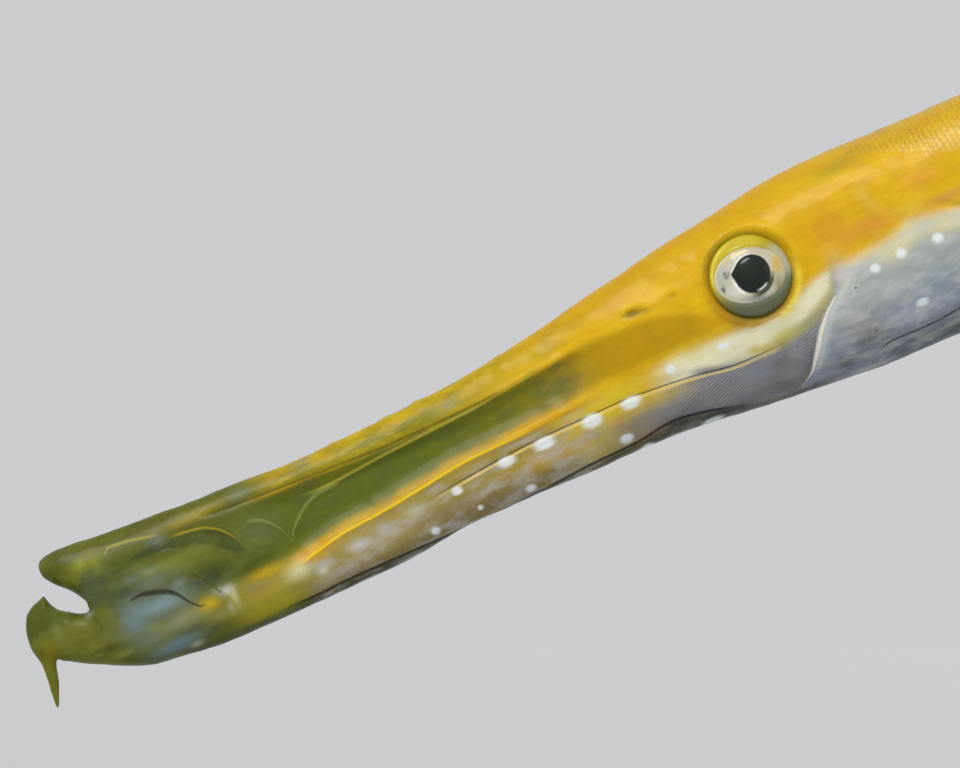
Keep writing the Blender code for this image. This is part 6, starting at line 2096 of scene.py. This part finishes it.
# %% Put the stand together
base = make_base()
base.data.materials.append(make_wood())
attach(base, "root")
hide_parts("stand_base")
STEEL = make_steel()
for rod_name, rod_s in RODS.items():
    rod = make_rod(f"{rod_name}_fine", rod_s)
    rod.data.materials.append(STEEL)
    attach(rod, "root")
    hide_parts(rod_name)
print("base faces:", len(base.data.polygons))

# %% [markdown]
# ## Floor, light and camera
# The fish is shown as a museum would photograph it: on a plain pale floor under soft studio light. A big
# soft lamp at the camera's upper left is the main light, as the flash was, a second one fills the shadows
# and a narrow one behind lights the edge of the back. The view transform is the standard one, because the
# filmic one turns so strong a yellow pale.

# %% Floor
FLOOR_HALF = 12.0
FLOOR_COLOUR = (0.463, 0.473, 0.479, 1)  # as bright under these lamps as the sky behind it


def make_floor():
    mesh = bpy.data.meshes.new("floor")
    size = FLOOR_HALF
    mesh.from_pydata(
        [(-size, -size, 0), (size, -size, 0), (size, size, 0), (-size, size, 0)], [], [(0, 1, 2, 3)]
    )
    floor = bpy.data.objects.new("floor", mesh)
    bpy.context.scene.collection.objects.link(floor)
    material = bpy.data.materials.new("floor_paint")
    material.use_nodes = True
    shader = material.node_tree.nodes["Principled BSDF"]
    set_constants(shader, Base_Color=FLOOR_COLOUR, Roughness=0.6)
    mesh.materials.append(material)
    return floor


make_floor()
print("floor:", 2 * FLOOR_HALF, "m square")

# %% Lamps and surroundings
def add_lamp(name, azimuth, elevation, strength, softness, colour):
    """A far, wide and soft light, so that the floor is lit evenly. Azimuth 0 shines from the camera."""
    lamp = bpy.data.lights.new(name, "SUN")
    lamp.energy, lamp.angle, lamp.color = strength, math.radians(softness), colour
    placed = bpy.data.objects.new(name, lamp)
    placed.rotation_euler = (math.radians(90 - elevation), 0, math.radians(azimuth))
    bpy.context.scene.collection.objects.link(placed)


add_lamp("key_lamp", -28, 48, 1.65, 24, (1.0, 0.985, 0.95))
add_lamp("fill_lamp", 55, 22, 0.35, 60, (0.95, 0.975, 1.0))
add_lamp("edge_lamp", 170, 52, 0.6, 20, (1.0, 0.99, 0.97))
world = bpy.data.worlds.new("studio")
bpy.context.scene.world = world
world.use_nodes = True
sky = world.node_tree.nodes["Background"]
sky.inputs["Color"].default_value = (0.97, 0.98, 1.0, 1)
sky.inputs["Strength"].default_value = 0.62
bpy.context.scene.view_settings.view_transform = "Standard"
print("lamps: 3")

# %% Camera
lens = bpy.data.cameras.new("camera")
lens.sensor_width = SENSOR_WIDTH
lens.lens = SENSOR_WIDTH * CAMERA_DISTANCE / FRAME_WIDTH
camera = bpy.data.objects.new("camera", lens)
camera.location = CAMERA
camera.rotation_euler = Vector(AIM - CAMERA).to_track_quat("-Z", "Y").to_euler()
bpy.context.scene.collection.objects.link(camera)
bpy.context.scene.camera = camera
print("lens:", round(lens.lens), "mm")
